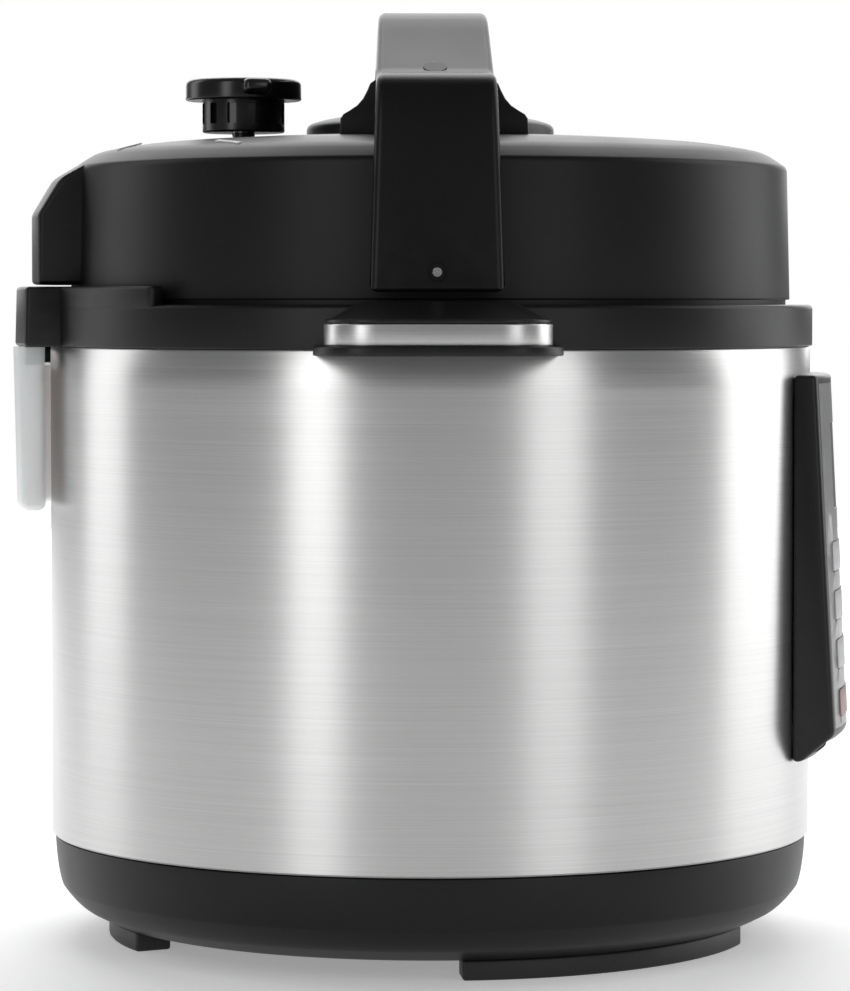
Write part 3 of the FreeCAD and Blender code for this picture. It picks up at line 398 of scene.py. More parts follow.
foot_plastic = plastic("foot_plastic", (0.008, 0.008, 0.008), (0.035, 0.035, 0.035), 0.5, 1800.0, 0.2)
foot_in = drum - 33.0
foot_out = drum - 20.0
for name, centre, half_arc in (("front_left", 270.0 - 52.6, 33.0), ("front_right", 270.0 + 52.6, 33.0),
                               ("rear", 90.0, 27.0)):
    pad = spun([(foot_in, 0.0), (foot_out, 0.0), (foot_out, foot_h + 0.3), (foot_in, foot_h + 0.3)],
               steps=48, start=centre - half_arc, sweep=2 * half_arc)
    piece(pad, "pad_" + name, foot_plastic, "cooker", "foot_plastic", "foot_" + name, sharp=40.0, bevel=1.0)


# ---- drum ----
# The outside of the cooker: a sheet of stainless steel 0.7 mm thick, rolled and welded to a drum
# and brushed round and round, with its ends hemmed over the base and the collar.

brushed, brushed_in, brushed_out = group(
    "brushed_lines",
    [("Along", "Float", 9.0), ("Across", "Float", 2600.0), ("Depth", "Float", 0.2), ("Roughness", "Float", 0.3),
     ("Spread", "Float", 0.12), ("Colour", "Color", (0.6, 0.6, 0.6, 1.0))],
    [("Colour", "Color"), ("Roughness", "Float"), ("Normal", "Vector")])
brushed_at = add(brushed, "TexCoord")
brushed_scale = add(brushed, "CombineXYZ")
brushed_stretch = add(brushed, "VectorMath", operation="MULTIPLY")
brushed_noise = add(brushed, "TexNoise", Scale=1.0, Detail=5.0, Roughness=0.65)
brushed_cloud = add(brushed, "TexNoise", Scale=14.0, Detail=3.0)
brushed_bump = add(brushed, "Bump", Distance=0.00005)
brushed_level = combine(brushed, "SUBTRACT", brushed_noise.outputs["Fac"], 0.5)
brushed_gloss = combine(brushed, "MULTIPLY_ADD", brushed_level, brushed_in.outputs["Spread"],
                        brushed_in.outputs["Roughness"])
brushed_line_tone = ramp(brushed, brushed_noise.outputs["Fac"], 0.3, 0.7, 0.90, 1.06)
brushed_cloud_tone = ramp(brushed, brushed_cloud.outputs["Fac"], 0.3, 0.7, 0.985, 1.015)
brushed_colour = add(brushed, "VectorMath", operation="SCALE")
wire(brushed,
     (brushed_in.outputs["Along"], brushed_scale.inputs["X"]),
     (brushed_in.outputs["Along"], brushed_scale.inputs["Y"]),
     (brushed_in.outputs["Across"], brushed_scale.inputs["Z"]),
     (brushed_at.outputs["Object"], brushed_stretch.inputs[0]),
     (brushed_scale.outputs[0], brushed_stretch.inputs[1]),
     (brushed_stretch.outputs[0], brushed_noise.inputs["Vector"]),
     (brushed_at.outputs["Object"], brushed_cloud.inputs["Vector"]),
     (brushed_in.outputs["Depth"], brushed_bump.inputs["Strength"]),
     (brushed_noise.outputs["Fac"], brushed_bump.inputs["Height"]),
     (brushed_bump.outputs["Normal"], brushed_out.inputs["Normal"]),
     (brushed_gloss, brushed_out.inputs["Roughness"]),
     (brushed_in.outputs["Colour"], brushed_colour.inputs[0]),
     (combine(brushed, "MULTIPLY", brushed_line_tone, brushed_cloud_tone), brushed_colour.inputs["Scale"]),
     (brushed_colour.outputs[0], brushed_out.inputs["Colour"]))


def steel(name, colour, roughness, along=9.0, across=2600.0, depth=0.2, anisotropic=0.0, spread=0.12):
    """A brushed metal, with its lines running round the cooker's axis."""
    material = bpy.data.materials.new(name)
    material.use_nodes = True
    tree = material.node_tree
    shader = tree.nodes["Principled BSDF"]
    lines = place(tree, brushed, Along=along, Across=across, Depth=depth, Roughness=roughness, Spread=spread,
                  Colour=(*colour, 1.0))
    wire(tree,
         (lines.outputs["Colour"], shader.inputs["Base Color"]),
         (lines.outputs["Roughness"], shader.inputs["Roughness"]),
         (lines.outputs["Normal"], shader.inputs["Normal"]))
    shader.inputs["Metallic"].default_value = 1.0
    shader.inputs["Anisotropic"].default_value = anisotropic
    if anisotropic:
        round_axis = add(tree, "Tangent", direction_type="RADIAL", axis="Z")
        tree.links.new(round_axis.outputs[0], shader.inputs["Tangent"])
        shader.inputs["Anisotropic Rotation"].default_value = 0.25
    return material


drum_steel = steel("drum_steel", (0.60, 0.60, 0.595), 0.30, anisotropic=0.6)
pod_low, pod_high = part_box("panel_housing")
opening_half = pod_high.x / mm - 6.0
opening_low = pod_low.z / mm + 6.0
opening_high = pod_high.z / mm - 4.0
skin = bmesh.new()
rims = [shell_low + 0.1, shell_low + 0.7, opening_low, opening_high, shell_top - 0.9, shell_top - 0.3]
edge_in = [0.6, 0.0, 0.0, 0.0, 0.0, 0.35]
strip = [skin.verts.new(((drum - back) * mm, 0.0, z * mm)) for z, back in zip(rims, edge_in)]
for low, high in zip(strip, strip[1:]):
    skin.edges.new((low, high))
bmesh.ops.spin(skin, geom=list(skin.edges), axis=(0, 0, 1), cent=(0, 0, 0), angle=math.tau, steps=240,
               use_merge=True)
gone = []
for face in skin.faces:
    where = face.calc_center_median() / mm
    if abs(where.x) < opening_half and where.y < 0 and opening_low < where.z < opening_high:
        gone.append(face)
bmesh.ops.delete(skin, geom=gone, context="FACES")
bmesh.ops.recalc_face_normals(skin, faces=skin.faces)
bmesh.ops.solidify(skin, geom=list(skin.faces), thickness=0.7 * mm)
piece(skin, "drum_skin", drum_steel, "cooker", "shell_steel", "outer_shell")


# ---- collar ----
# A deep black moulding that caps the drum and carries the inner housing. Its rear third stands
# higher, and a block at the back holds the rails that the condensation cup hangs from.

rear_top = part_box("collar")[1].z / mm
collar_rim = rear_top - 6.3
collar_out = drum + 0.8
collar_plastic = plastic("collar_plastic", (0.005, 0.005, 0.0053), (0.035, 0.035, 0.035), 0.37, 2400.0, 0.14,
                         specular=0.26)
piece(spun([
    (drum - 0.9, shell_top - 6.0), (drum - 0.9, shell_top), (collar_out, shell_top, 0.5),
    (collar_out, collar_rim, 1.6), (drum - 4.7, collar_rim, 0.4), (drum - 4.7, collar_rim - 7.5),
    (drum - 9.5, collar_rim - 7.5), (drum - 9.5, collar_rim - 10.5), (drum - 3.4, collar_rim - 10.5),
    (drum - 3.4, shell_top - 6.0)], steps=240),
      "collar_ring", collar_plastic, "cooker", "body_plastic", "collar")
piece(spun([(drum - 4.7, collar_rim - 2.0), (collar_out, collar_rim - 2.0), (collar_out, rear_top),
            (drum - 4.7, rear_top)], steps=80, start=44.0, sweep=92.0),
      "collar_rear_rise", collar_plastic, "cooker", "body_plastic", bevel=1.2)


def squared(bm, half_width, half_angle):
    """Turn a spun stretch's slanting ends square, so that its sides run straight out from the drum."""
    for vert in bm.verts:
        r = math.hypot(vert.co.x, vert.co.y)
        share = math.degrees(math.atan2(vert.co.x, abs(vert.co.y))) / half_angle
        x = half_width * mm * share
        vert.co.x = x
        vert.co.y = math.copysign(math.sqrt(r * r - x * x), vert.co.y)
    return bm


rear_half = 43.2
rear_out = drum + 12.4
rear_angle = math.degrees(math.asin(rear_half / rear_out))
rear_block = spun([(drum - 0.5, shell_top), (rear_out, shell_top), (rear_out - 0.6, rear_top),
                   (drum - 0.5, rear_top)], steps=36, start=90.0 - rear_angle, sweep=2 * rear_angle)
piece(squared(rear_block, rear_half, rear_angle), "collar_rear_block", collar_plastic, "cooker", "body_plastic",
      bevel=1.3, sharp=40.0)
for side, label in ((-1, "left"), (1, "right")):
    for part, near, far, top in (("web", 26.0, 28.0, 0.5), ("foot", 27.0, 31.0, -5.0)):
        rail = cuboid(*sorted((side * near, side * far)), drum + 0.8, drum + 7.2,
                      shell_top - 6.5, shell_top + top)
        piece(rail, "cup_rail_%s_%s" % (part, label), collar_plastic, "cooker", "body_plastic", bevel=0.3,
              segments=2)


# ---- side handles ----
# Each side handle is a hollow black cover screwed up under two arms of the collar. A strip of
# brushed steel wraps its waist, a thin lip runs out below it, and the top ramps up to the collar.

handle_low, handle_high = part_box("handle_cover_right")
reach = handle_high.x / mm
lip_z = handle_low.z / mm
lip_half = 40.2
trim_half = 36.7
trim_z = lip_z + 3.3
trim_top = trim_z + 7.2
cap_top = trim_top + 1.5
corner = 20.0
handle_plastic = plastic("handle_plastic", (0.0055, 0.0055, 0.0058), (0.04, 0.04, 0.04), 0.38, 2200.0, 0.14,
                         specular=0.34)
trim_steel = steel("trim_steel", (0.62, 0.62, 0.615), 0.33, depth=0.12)


def wing(half, out, low, high, radius):
    """A slab in the plan shape of a side handle, from inside the collar's wall outwards."""
    root = drum - 4.0
    bm = outline([(root, -half), (out, -half, radius), (out, half, radius), (root, half)], flat="xy")
    bmesh.ops.translate(bm, verts=bm.verts, vec=(0, 0, low * mm))
    lifted = bmesh.ops.extrude_face_region(bm, geom=list(bm.faces))
    top = [v for v in lifted["geom"] if isinstance(v, bmesh.types.BMVert)]
    bmesh.ops.translate(bm, verts=top, vec=(0, 0, (high - low) * mm))
    bmesh.ops.recalc_face_normals(bm, faces=bm.faces)
    return bm


def hug(bm, r):
    """Draw a slab's inner edge on to a round wall."""
    for vert in bm.verts:
        if vert.co.x < (drum - 3.0) * mm:
            vert.co.x = math.sqrt((r * mm) ** 2 - vert.co.y ** 2)
    return bm


def both_sides(make, name, material, slot, node, **finish):
    """Make a side handle's piece on the right, and its mirror image on the left."""
    for side, label in ((1, "right"), (-1, "left")):
        bm = make()
        if side < 0:
            bmesh.ops.scale(bm, vec=(-1, 1, 1), verts=bm.verts)
            bmesh.ops.reverse_faces(bm, faces=bm.faces)
        nodes = (node + label,) if node else ()
        piece(bm, name + label, material, "cooker", slot, *nodes, **finish)


def lip_plate():
    """The thin tray under a side handle, hollow below."""
    bm = wing(lip_half, reach, lip_z, trim_z, corner)
    under = [f for f in bm.faces if f.normal.z < -0.5]
    bmesh.ops.inset_region(bm, faces=under, thickness=8.5 * mm, use_boundary=True)
    hollow = list({v for f in under for v in f.verts})
    bmesh.ops.translate(bm, verts=hollow, vec=(0, 0, (trim_z - lip_z - 0.8) * mm))
    return hug(bm, collar_out - 0.4)


def trim_band():
    """The steel strip round a side handle's waist."""
    return hug(wing(trim_half, reach - 3.5, trim_z, trim_top, corner - 3.0), collar_out - 0.4)


def top_cap():
    """The top of a side handle, which narrows as it ramps up to the collar."""
    bm = wing(trim_half - 0.4, reach - 4.0, trim_top, cap_top, corner - 3.0)
    top = [f for f in bm.faces if f.normal.z > 0.5]
    bmesh.ops.inset_region(bm, faces=top, thickness=2.4 * mm, use_boundary=True)
    lifted = bmesh.ops.extrude_face_region(bm, geom=top)
    bmesh.ops.delete(bm, geom=top, context="FACES_ONLY")
    crown = [v for v in lifted["geom"] if isinstance(v, bmesh.types.BMVert)]
    ramp_foot = (collar_out + 4.0) * mm
    for vert in crown:
        if vert.co.x > ramp_foot:
            vert.co.x = ramp_foot + (vert.co.x - ramp_foot) * 0.35
        vert.co.z = (collar_rim + 1.0) * mm
        vert.co.y *= 24.8 / (trim_half - 2.8)
    return hug(bm, collar_out - 0.4)


both_sides(lip_plate, "handle_lip_", handle_plastic, "handle_plastic", "handle_cover_", bevel=0.7, sharp=40.0)
both_sides(trim_band, "handle_band_", trim_steel, "trim_steel", "handle_trim_", bevel=0.5, sharp=40.0)
both_sides(top_cap, "handle_top_", handle_plastic, "handle_plastic", None, bevel=0.7, sharp=25.0)


# ---- condensation cup ----
# A small clear cup, thin-walled and slightly frosted, that catches drips from the collar. Two
# inside ledges slide on to the collar's rails, and it pulls straight off to the rear.

cup_low, cup_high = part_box("condensate_cup")
cup_clear = bpy.data.materials.new("cup_clear")
cup_clear.use_nodes = True
cup_shader = cup_clear.node_tree.nodes["Principled BSDF"]
cup_surface = place(cup_clear.node_tree, grain, Grain_per_metre=3000.0, Depth=0.03, Roughness=0.3, Spread=0.1)
cup_clear.node_tree.links.new(cup_surface.outputs["Roughness"], cup_shader.inputs["Roughness"])
cup_clear.node_tree.links.new(cup_surface.outputs["Normal"], cup_shader.inputs["Normal"])
cup_shader.inputs["Base Color"].default_value = (0.93, 0.93, 0.93, 1.0)
cup_shader.inputs["Alpha"].default_value = 0.5
cup_shader.inputs["IOR"].default_value = 1.5
cup_shader.inputs["Subsurface Weight"].default_value = 0.15
cup_top = cup_high.z / mm
cup_bottom = cup_low.z / mm
cup_in = drum + 4.0
cup_out = drum + 13.1
cup_half = 36.0
cup_wall = 1.6


def cup_block(thinner, low, high, half):
    """The cup's solid shape, drawn in all round by a thickness."""
    angle = math.degrees(math.asin(half / (cup_out - thinner)))
    bm = spun([(cup_in + thinner, low), (cup_out - 1.2 - thinner, low), (cup_out - thinner, high),
               (cup_in + thinner, high)], steps=36, start=90.0 - angle, sweep=2 * angle)
    bm = squared(bm, half, angle)
    bmesh.ops.remove_doubles(bm, verts=bm.verts, dist=1e-6)
    bmesh.ops.recalc_face_normals(bm, faces=bm.faces)
    return bm


cup = cup_block(0.0, cup_bottom, cup_top, cup_half)
turned = [e for e in cup.edges if e.calc_face_angle(0.0) > 0.9
          and e.verts[0].co.z + e.verts[1].co.z < (2.0 * cup_top - 2.0) * mm]
bmesh.ops.bevel(cup, geom=turned, offset=2.6 * mm, offset_type="OFFSET", segments=5, profile=0.5,
                affect="EDGES", material=-1)
cup_piece = piece(cup, "drip_cup", cup_clear, "condensate_cup", "cup_plastic", "condensate_cup", sharp=40.0)
ledge = 34.2
cut_away(cup_piece, [cup_block(cup_wall, cup_bottom + cup_wall, cup_top + 2.0, cup_half - cup_wall),
                     cuboid(-ledge, ledge, drum - 4.0, drum + 7.0, shell_top - 7.5, cup_top + 2.0)])


# ---- control panel pod ----
# A black housing clipped over the opening in the drum. Its front is part of a cone that leans
# back, its sides run straight in to the drum, and its foot slopes back under the keys.

pod_half = pod_high.x / mm
pod_z = pod_low.z / mm
pod_top = pod_high.z / mm
stand_low = 14.1
stand_top = 7.3
chin = 9.3


def pod_r(z):
    """Radius of the pod's face at a height."""
    return drum + stand_low + (stand_top - stand_low) * (z - pod_z) / (pod_top - pod_z)


pod_plastic = plastic("pod_plastic", (0.004, 0.004, 0.0042), (0.035, 0.035, 0.035), 0.36, 2400.0, 0.12,
                      specular=0.36)
pod_angle = math.degrees(math.asin(pod_half / pod_r(pod_z + chin)))
pod = spun([(drum + 0.1, pod_z), (pod_r(pod_z + chin) - 10.7, pod_z), (pod_r(pod_z + chin), pod_z + chin, 1.5),
            (pod_r(pod_top), pod_top), (drum + 0.1, pod_top)],
           steps=48, start=270.0 - pod_angle, sweep=2 * pod_angle)
pod_shell = piece(squared(pod, pod_half, pod_angle), "panel_pod", pod_plastic, "cooker", "body_plastic",
                  "panel_housing", bevel=1.6, sharp=35.0, segments=4)


def behind_face(half, z0, z1, inset, proud):
    """A slab that follows the pod's face, between two depths."""
    angle = math.degrees(math.asin(half / pod_r(z0)))
    bm = spun([(pod_r(z0) - inset, z0), (pod_r(z0) + proud, z0), (pod_r(z1) + proud, z1),
               (pod_r(z1) - inset, z1)], steps=40, start=270.0 - angle, sweep=2 * angle)
    bm = squared(bm, half, angle)
    bmesh.ops.recalc_face_normals(bm, faces=bm.faces)
    return bm


film_low, film_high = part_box("panel_face")
cut_away(pod_shell, [behind_face(film_high.x / mm + 0.05, film_low.z / mm - 0.05, film_high.z / mm + 0.05,
                                 3.2, 5.0),
                     behind_face(pod_half - 2.2, pod_z + 3.0, pod_top - 2.2, 20.0, -2.6)])


# ---- panel works ----
# Behind the film sit the display window, the board and a switch for each key. The film itself is a
# dark grey sheet printed on its back, with a cut-out for the window and for every key.

film_material = plastic("panel_film", (0.17, 0.17, 0.175), (0.3, 0.3, 0.3), 0.30, 5200.0, 0.06, amount=0.25)
window_material = plastic("window_dark", (0.006, 0.008, 0.011), (0.02, 0.02, 0.02), 0.12, 900.0, 0.01,
                          amount=0.0)
window_material.node_tree.nodes["Principled BSDF"].inputs["Coat Weight"].default_value = 0.6
key_material = plastic("key_grey", (0.40, 0.40, 0.41), (0.5, 0.5, 0.5), 0.42, 3600.0, 0.12)
start_material = plastic("key_start", (0.17, 0.24, 0.18), (0.3, 0.36, 0.3), 0.42, 3600.0, 0.12)
cancel_material = plastic("key_cancel", (0.27, 0.16, 0.15), (0.4, 0.3, 0.3), 0.42, 3600.0, 0.12)


def dress(node, material, bevel=0.0, sharp=38.0):
    """Give a CAD piece its finish, welded vertices and, when asked, broken edges."""
    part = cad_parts[node]
    part.data.materials.clear()
    part.data.materials.append(material)
    weld = part.modifiers.new("weld", "WELD")
    weld.merge_threshold = 1e-6
    if bevel:
        edge = part.modifiers.new("edges", "BEVEL")
        edge.width = bevel * mm
        edge.segments = 2
        edge.limit_method = "ANGLE"
        edge.angle_limit = math.radians(sharp)


dress("panel_face", film_material)
dress("display_window", window_material)
key_finish = {"key_start": start_material, "key_cancel": cancel_material}
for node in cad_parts:
    if node.startswith("key_") and node != "key_switches":
        dress(node, key_finish.get(node, key_material), bevel=0.25)
board_green = plastic("board_green", (0.012, 0.075, 0.03), (0.1, 0.2, 0.1), 0.35, 1400.0, 0.1)
component_black = plastic("component_black", (0.02, 0.02, 0.022), (0.1, 0.1, 0.1), 0.4, 1600.0, 0.15)
dress("panel_board", board_green)
dress("key_switches", component_black)


# ---- works in the base ----
# The inner housing is drawn from aluminium. A cast heating plate stands in it on three legs over a
# spring plate, which trips the pressure switch. The power board lies on posts below.

bright_steel = steel("bright_steel", (0.70, 0.70, 0.70), 0.16, depth=0.05)
housing_alu = steel("housing_aluminium", (0.72, 0.72, 0.72), 0.34, across=1200.0, depth=0.1)
cast_alu = steel("cast_aluminium", (0.50, 0.50, 0.50), 0.42, along=300.0, across=300.0, depth=0.3)
spring_steel = steel("spring_steel", (0.50, 0.49, 0.47), 0.32, depth=0.1)
zinc_steel = steel("zinc_steel", (0.55, 0.55, 0.56), 0.30, along=400.0, across=400.0, depth=0.1)
brass = steel("plated_brass", (0.75, 0.60, 0.32), 0.25, along=300.0, across=300.0, depth=0.1)
fuse_sleeve = plastic("fuse_sleeve", (0.62, 0.60, 0.52), (0.7, 0.7, 0.6), 0.8, 1500.0, 0.6)


def dress_all(*groups):
    """Dress several CAD pieces; each group is its nodes' names in one line, a material and a bevel."""
    for names, material, bevel in groups:
        for node in names.split():
            dress(node, material, bevel=bevel)


dress_all(
    ("lock_ring sensor_cap", bright_steel, 0.2),
    ("outer_pot", housing_alu, 0.0),
    ("heating_plate", cast_alu, 0.4),
    ("heating_element pressure_spring_plate sensor_spring sensor_bracket", spring_steel, 0.0),
    ("base_screws handle_screws", zinc_steel, 0.2),
    ("inlet_pins", brass, 0.3),
    ("power_inlet", component_black, 0.4),
    ("power_board", board_green, 0.0),
    ("power_components pressure_switch", component_black, 0.5),
    ("thermal_fuse", fuse_sleeve, 0.3))


# ---- inner pot ----
# A pot drawn from one sheet of stainless steel with a turned-out rim. It stands loose on the
# heating plate and lifts straight out.

pot_steel = steel("pot_steel", (0.66, 0.66, 0.655), 0.26, along=12.0, across=1800.0, depth=0.15,
                  anisotropic=0.4)
dress("inner_pot", pot_steel)


# ---- works under the lid ----
# A pressed steel plate with lugs that turn under the lock ring. It carries a wire rack with the
# silicone sealing ring, the float valve with its red seal, and the shielded end of the steam pipe.

red_rubber = plastic("red_silicone", (0.42, 0.03, 0.025), (0.5, 0.2, 0.2), 0.5, 1500.0, 0.1)
pale_rubber = plastic("pale_silicone", (0.70, 0.71, 0.70), (0.75, 0.75, 0.75), 0.45, 1500.0, 0.08)
pale_rubber.node_tree.nodes["Principled BSDF"].inputs["Subsurface Weight"].default_value = 0.3
dress_all(
    ("lid_plate", pot_steel, 0.0),
    ("ring_rack steam_pipe anti_block_shield float_valve lid_nut handle_pins", bright_steel, 0.2),
    ("lid_screws", zinc_steel, 0.2),
    ("float_seal", red_rubber, 0.3),
    ("sealing_ring", pale_rubber, 0.4))


# ---- lid ----
# A big black dome of grained plastic over the steel lid plate. Its side is nearly upright, its
# crown is shallow, and a block at the back stands over the collar's own block.

lid_low, lid_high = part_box("lid_cover")
lid_bottom = lid_low.z / mm
dome_top = lid_bottom + 57.8
crease = lid_bottom + 46.2
lid_out = lid_high.x / mm
lid_wall = 2.8
lid_plastic = plastic("lid_plastic", (0.0048, 0.0048, 0.005), (0.035, 0.035, 0.035), 0.40, 2200.0, 0.16,
                      specular=0.22)
lid_line = [
    (lid_out - 1.4, lid_bottom - 2.2), (lid_out - 1.4, lid_bottom), (lid_out, lid_bottom, 0.5),
    (lid_out - 1.1, crease + 0.2, 1.4), (lid_out - 8.9, crease + 5.3, 2.6), (lid_out - 19.7, crease + 7.6, 8.0),
    (lid_out - 33.2, crease + 8.9, 6.0), (lid_out / 2 + 3.65, crease + 10.5, 10.0), (0.0, dome_top)]
lid_inside = [
    (0.0, dome_top - lid_wall), (lid_out / 2 + 3.0, crease + 10.4 - lid_wall),
    (lid_out - 34.0, crease + 8.6 - lid_wall), (lid_out - 12.0, crease + 3.0 - lid_wall),
    (lid_out - 1.1 - lid_wall, crease - 2.0), (lid_out - lid_wall, lid_bottom - 2.2)]
lid_shell = piece(spun(lid_line + lid_inside, steps=240), "lid_dome", lid_plastic, "lid", "lid_plastic",
                  "lid_cover")

bulge_z = rear_top + 0.7
bulge_out = drum + 6.4
bulge_half = 36.9
bulge_angle = math.degrees(math.asin(bulge_half / bulge_out))
bulge = spun([(lid_out - 12.0, bulge_z), (bulge_out, bulge_z), (bulge_out, bulge_z + 24.4, 1.0),
              (bulge_out - 7.5, crease - 4.0, 2.0), (bulge_out - 18.5, crease + 2.4, 1.0),
              (lid_out - 12.0, crease + 2.0)], steps=36, start=90.0 - bulge_angle, sweep=2 * bulge_angle)
piece(squared(bulge, bulge_half, bulge_angle), "lid_rear_block", lid_plastic, "lid", "lid_plastic", bevel=1.5,
      sharp=40.0, segments=4)

float_low, float_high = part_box("float_valve")
float_place = ((float_low.x + float_high.x) / 2, (float_low.y + float_high.y) / 2, dome_top * mm)
cut_away(lid_shell, [rod(4.4, 40.0, float_place)])


# ---- lid handle ----
# One long bridge of satin plastic. Its straps lie flat down both sides of the lid, pinned near
# their feet, and its shoulders ramp up to a narrow grip that stands over the middle.

grip_low, grip_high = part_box("lid_handle")
strap_x = grip_high.x / mm
strap_z = grip_low.z / mm
grip_top = grip_high.z / mm
gap_top = grip_top - 21.0
bridge_plastic = plastic("bridge_plastic", (0.0042, 0.0042, 0.0045), (0.05, 0.05, 0.05), 0.36, 2600.0, 0.12,
                         specular=0.24)
edge_round = 2.6
over_line = [
    (strap_x, strap_z, 1.5), (strap_x - 3.9, crease + 16.0, 16.0), (strap_x - 12.0, dome_top + 16.1, 4.5),
    (98.0, dome_top + 17.0, 5.0), (63.0, grip_top - 4.6, 6.0), (53.0, grip_top, 7.0)]
under_line = [
    (40.0, gap_top, 3.0), (46.5, gap_top - 5.0, 4.0), (50.5, dome_top + 2.0, 0.0), (51.5, dome_top - 2.5, 0.0),
    (80.0, dome_top - 4.5, 0.0), (108.0, crease + 4.0, 0.0), (lid_out - 7.5, crease - 6.0, 0.0),
    (lid_out - 7.5, strap_z, 0.0)]


def left_hand(points):
    """The same points on the left of the cooker."""
    return [(-x, z, r) for x, z, r in points]


whole = over_line + left_hand(over_line[::-1]) + left_hand(under_line[::-1]) + under_line


def bridge_half(z):
    """Half the width of the bridge at a height, both in metres."""
    waist = (crease + 27.0) * mm
    if z < waist:
        return (21.9 - 2.15 * (z - strap_z * mm) / (waist - strap_z * mm)) * mm
    return (19.75 - 1.1 * (z - waist) / (grip_top * mm - waist)) * mm


drawn = outline(whole)
drawn.faces.ensure_lookup_table()
drawn_face = drawn.faces[0]
line = []
for vert in drawn_face.verts:
    if not line or (vert.co - line[-1]).length > 1e-6:
        line.append(vert.co.copy())
drawn_face.normal_update()
turn = 1.0 if drawn_face.normal.y > 0 else -1.0
drawn.free()
levels = [(-1, 90 - 15 * step) for step in range(7)] + [(1, 15 * step) for step in range(7)]
bridge = bmesh.new()
rings = []
for side, degrees in levels:
    draw_in = edge_round * mm * (1.0 - math.cos(math.radians(degrees)))
    rise = edge_round * mm * math.sin(math.radians(degrees))
    ring = []
    for index, point in enumerate(line):
        before = (point - line[index - 1]).normalized()
        after = (line[(index + 1) % len(line)] - point).normalized()
        inward = Vector((before.z + after.z, 0.0, -before.x - after.x)).normalized() * turn
        lean = max(0.6, math.sqrt(max(0.0, (1.0 + before.dot(after)) / 2)))
        where = point + inward * draw_in / lean
        out = side * (bridge_half(point.z) - edge_round * mm + rise)
        ring.append(bridge.verts.new((where.x, out, where.z)))
    rings.append(ring)
for low, high in zip(rings, rings[1:]):
    for index in range(len(line)):
        bridge.faces.new((low[index - 1], low[index], high[index], high[index - 1]))
bridge.faces.new(rings[0])
bridge.faces.new(rings[-1])
handle = piece(bridge, "lid_bridge", bridge_plastic, "lid", "handle_plastic", "lid_handle", sharp=28.0)
sideways = Matrix.Rotation(math.radians(90), 4, "Y")
cut_away(handle, [rod(3.3, 5.0, (side * (strap_x + 0.7) * mm, 0, (lid_bottom + 8.9) * mm), tilt=sideways)
                  for side in (-1, 1)])
dress("handle_plugs", bridge_plastic, bevel=0.3)

# the flared feet of the grip, where it meets the crown of the lid
flare_x = 51.0
flare_run = 27.0
flare_side = [(32.0, -4.0), (31.6, 3.2), (30.6, 4.7), (28.4, 6.0), (26.0, 7.6), (24.0, 9.9), (22.6, 12.6),
              (21.6, 15.0), (18.8, 17.0)]
flare_line = [(-y, z) for y, z in flare_side] + flare_side[::-1]
for side, label in ((-1, "left"), (1, "right")):
    flare = bmesh.new()
    flare.faces.new([flare.verts.new((side * flare_x * mm, y * mm, (dome_top + z) * mm))
                     for y, z in flare_line])
    run = bmesh.ops.extrude_face_region(flare, geom=list(flare.faces))
    ends = [v for v in run["geom"] if isinstance(v, bmesh.types.BMVert)]
    bmesh.ops.translate(flare, verts=ends, vec=(side * flare_run * mm, 0, 0))
    piece(flare, "grip_foot_" + label, bridge_plastic, "lid", "handle_plastic", bevel=0.6, sharp=40.0)


# ---- boss under the grip ----
# A low round cap that hides the nut at the middle of the lid, moulded with a stepped rim.

boss_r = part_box("lid_boss")[1].x / mm
boss = spun([(0.0, dome_top + 9.2), (18.0, dome_top + 8.6, 3.0), (boss_r - 12.0, dome_top + 7.0, 2.0),
             (boss_r - 5.0, dome_top + 5.6, 1.5), (boss_r - 1.2, dome_top + 4.4, 1.0), (boss_r, dome_top + 3.0, 1.0),
             (boss_r, dome_top - 1.5), (boss_r - 2.5, dome_top - 1.5), (boss_r - 2.5, dome_top + 2.0),
             (boss_r - 13.0, dome_top + 4.5), (0.0, dome_top + 6.0)], steps=120)
# The cap's colour is painted a paler grey than the lid's other black mouldings. This is painted light, standing in
# for the light that falls on its top from above.
cap_plastic_painted_light = plastic("cap_plastic_painted_light", (0.02, 0.02, 0.021), (0.06, 0.06, 0.06), 0.45, 2000.0, 0.2)
piece(boss, "lid_centre_cap", cap_plastic_painted_light, "lid", "handle_plastic", "lid_boss")


# ---- steam release knob ----
# A loose weight of black plastic that sits over the steam pipe: a flat disc on a fluted stem, with
# a rounded tab that shows which way it is turned.

knob_x = -16.0
knob_y = 66.0
knob_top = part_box("steam_release_knob")[1].z / mm
disc_low = knob_top - 7.4
stem_low = dome_top + 0.8
knob_plastic = plastic("knob_plastic", (0.004, 0.004, 0.0042), (0.05, 0.05, 0.05), 0.24, 2600.0, 0.06)
stem_r = 14.5
disc_r = 20.4
bore_r = 4.1
bore_top = dome_top + 6.5
knob = spun([(bore_r, stem_low), (stem_r, stem_low, 0.8), (stem_r, disc_low), (disc_r, disc_low, 0.8),
             (disc_r, knob_top, 2.0), (15.0, knob_top, 0.8), (13.5, knob_top - 0.8, 0.6), (0.0, knob_top - 1.2),
             (0.0, bore_top), (bore_r, bore_top)], steps=96)
to_knob = (knob_x * mm, knob_y * mm, 0)
bmesh.ops.translate(knob, verts=knob.verts, vec=to_knob)
knob_piece = piece(knob, "steam_knob", knob_plastic, "steam_release_knob", "knob_plastic",
                   "steam_release_knob")
flutes = []
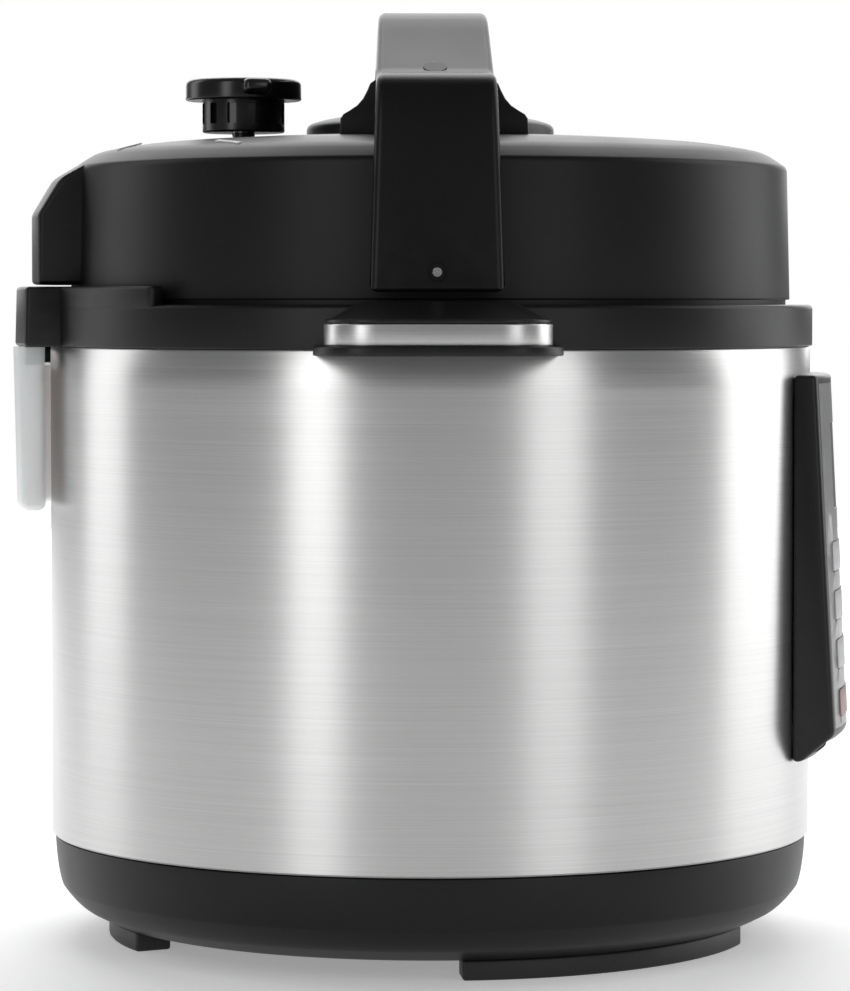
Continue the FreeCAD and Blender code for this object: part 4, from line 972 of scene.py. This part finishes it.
for step in range(12):
    flute = cuboid(12.9, 17.0, -1.6, 1.6, stem_low + 3.0, disc_low - 1.0)
    swing(flute, 30 * step + 15)
    bmesh.ops.translate(flute, verts=flute.verts, vec=to_knob)
    flutes.append(flute)
cut_away(knob_piece, flutes)
tab = cuboid(-25.0, -4.0, -5.0, 5.0, disc_low + 1.4, knob_top - 0.4)
swing(tab, 14.0)
bmesh.ops.translate(tab, verts=tab.verts, vec=to_knob)
piece(tab, "knob_tab", knob_plastic, "steam_release_knob", "knob_plastic", bevel=2.4, segments=5)


# ---- printed ticks ----
# Two short white lines printed on the crown of the lid, one for each place of the knob. They are
# made as slips a few tenths of a millimetre proud, with no letters by them.

def dome_height(r):
    """Height of the lid's crown at a radius, both in millimetres."""
    spots = [(0.0, dome_top), (lid_out / 2 + 3.65, crease + 10.5), (lid_out - 33.2, crease + 8.9),
             (lid_out - 19.7, crease + 7.5), (lid_out - 8.9, crease + 5.0), (lid_out - 1.1, crease - 0.6)]
    for (r0, z0), (r1, z1) in zip(spots, spots[1:]):
        if r <= r1:
            return z0 + (z1 - z0) * (r - r0) / (r1 - r0)
    return crease


tick_half = 0.8
tick_white = plastic("tick_white", (0.78, 0.78, 0.78), (0.8, 0.8, 0.8), 0.5, 1500.0, 0.05, amount=0.0)
for name, x0, y0, x1, y1 in (("tick_seal", -84.0, 73.0, -97.0, 65.0),
                             ("tick_vent", -40.0, 101.0, -48.0, 108.0)):
    tick = bmesh.new()
    across = Vector((y0 - y1, x1 - x0, 0.0)).normalized() * tick_half
    rows = []
    for step in range(9):
        share = step / 8
        row = []
        for side in (-1, 1):
            x = x0 + (x1 - x0) * share + across.x * side
            y = y0 + (y1 - y0) * share + across.y * side
            row.append(tick.verts.new((x * mm, y * mm, (dome_height(math.hypot(x, y)) + 0.12) * mm)))
        rows.append(row)
    for low, high in zip(rows, rows[1:]):
        tick.faces.new((low[0], low[1], high[1], high[0]))
    bmesh.ops.recalc_face_normals(tick, faces=tick.faces)
    bmesh.ops.solidify(tick, geom=list(tick.faces), thickness=-0.5 * mm)
    piece(tick, name, tick_white, "lid", "lid_plastic")
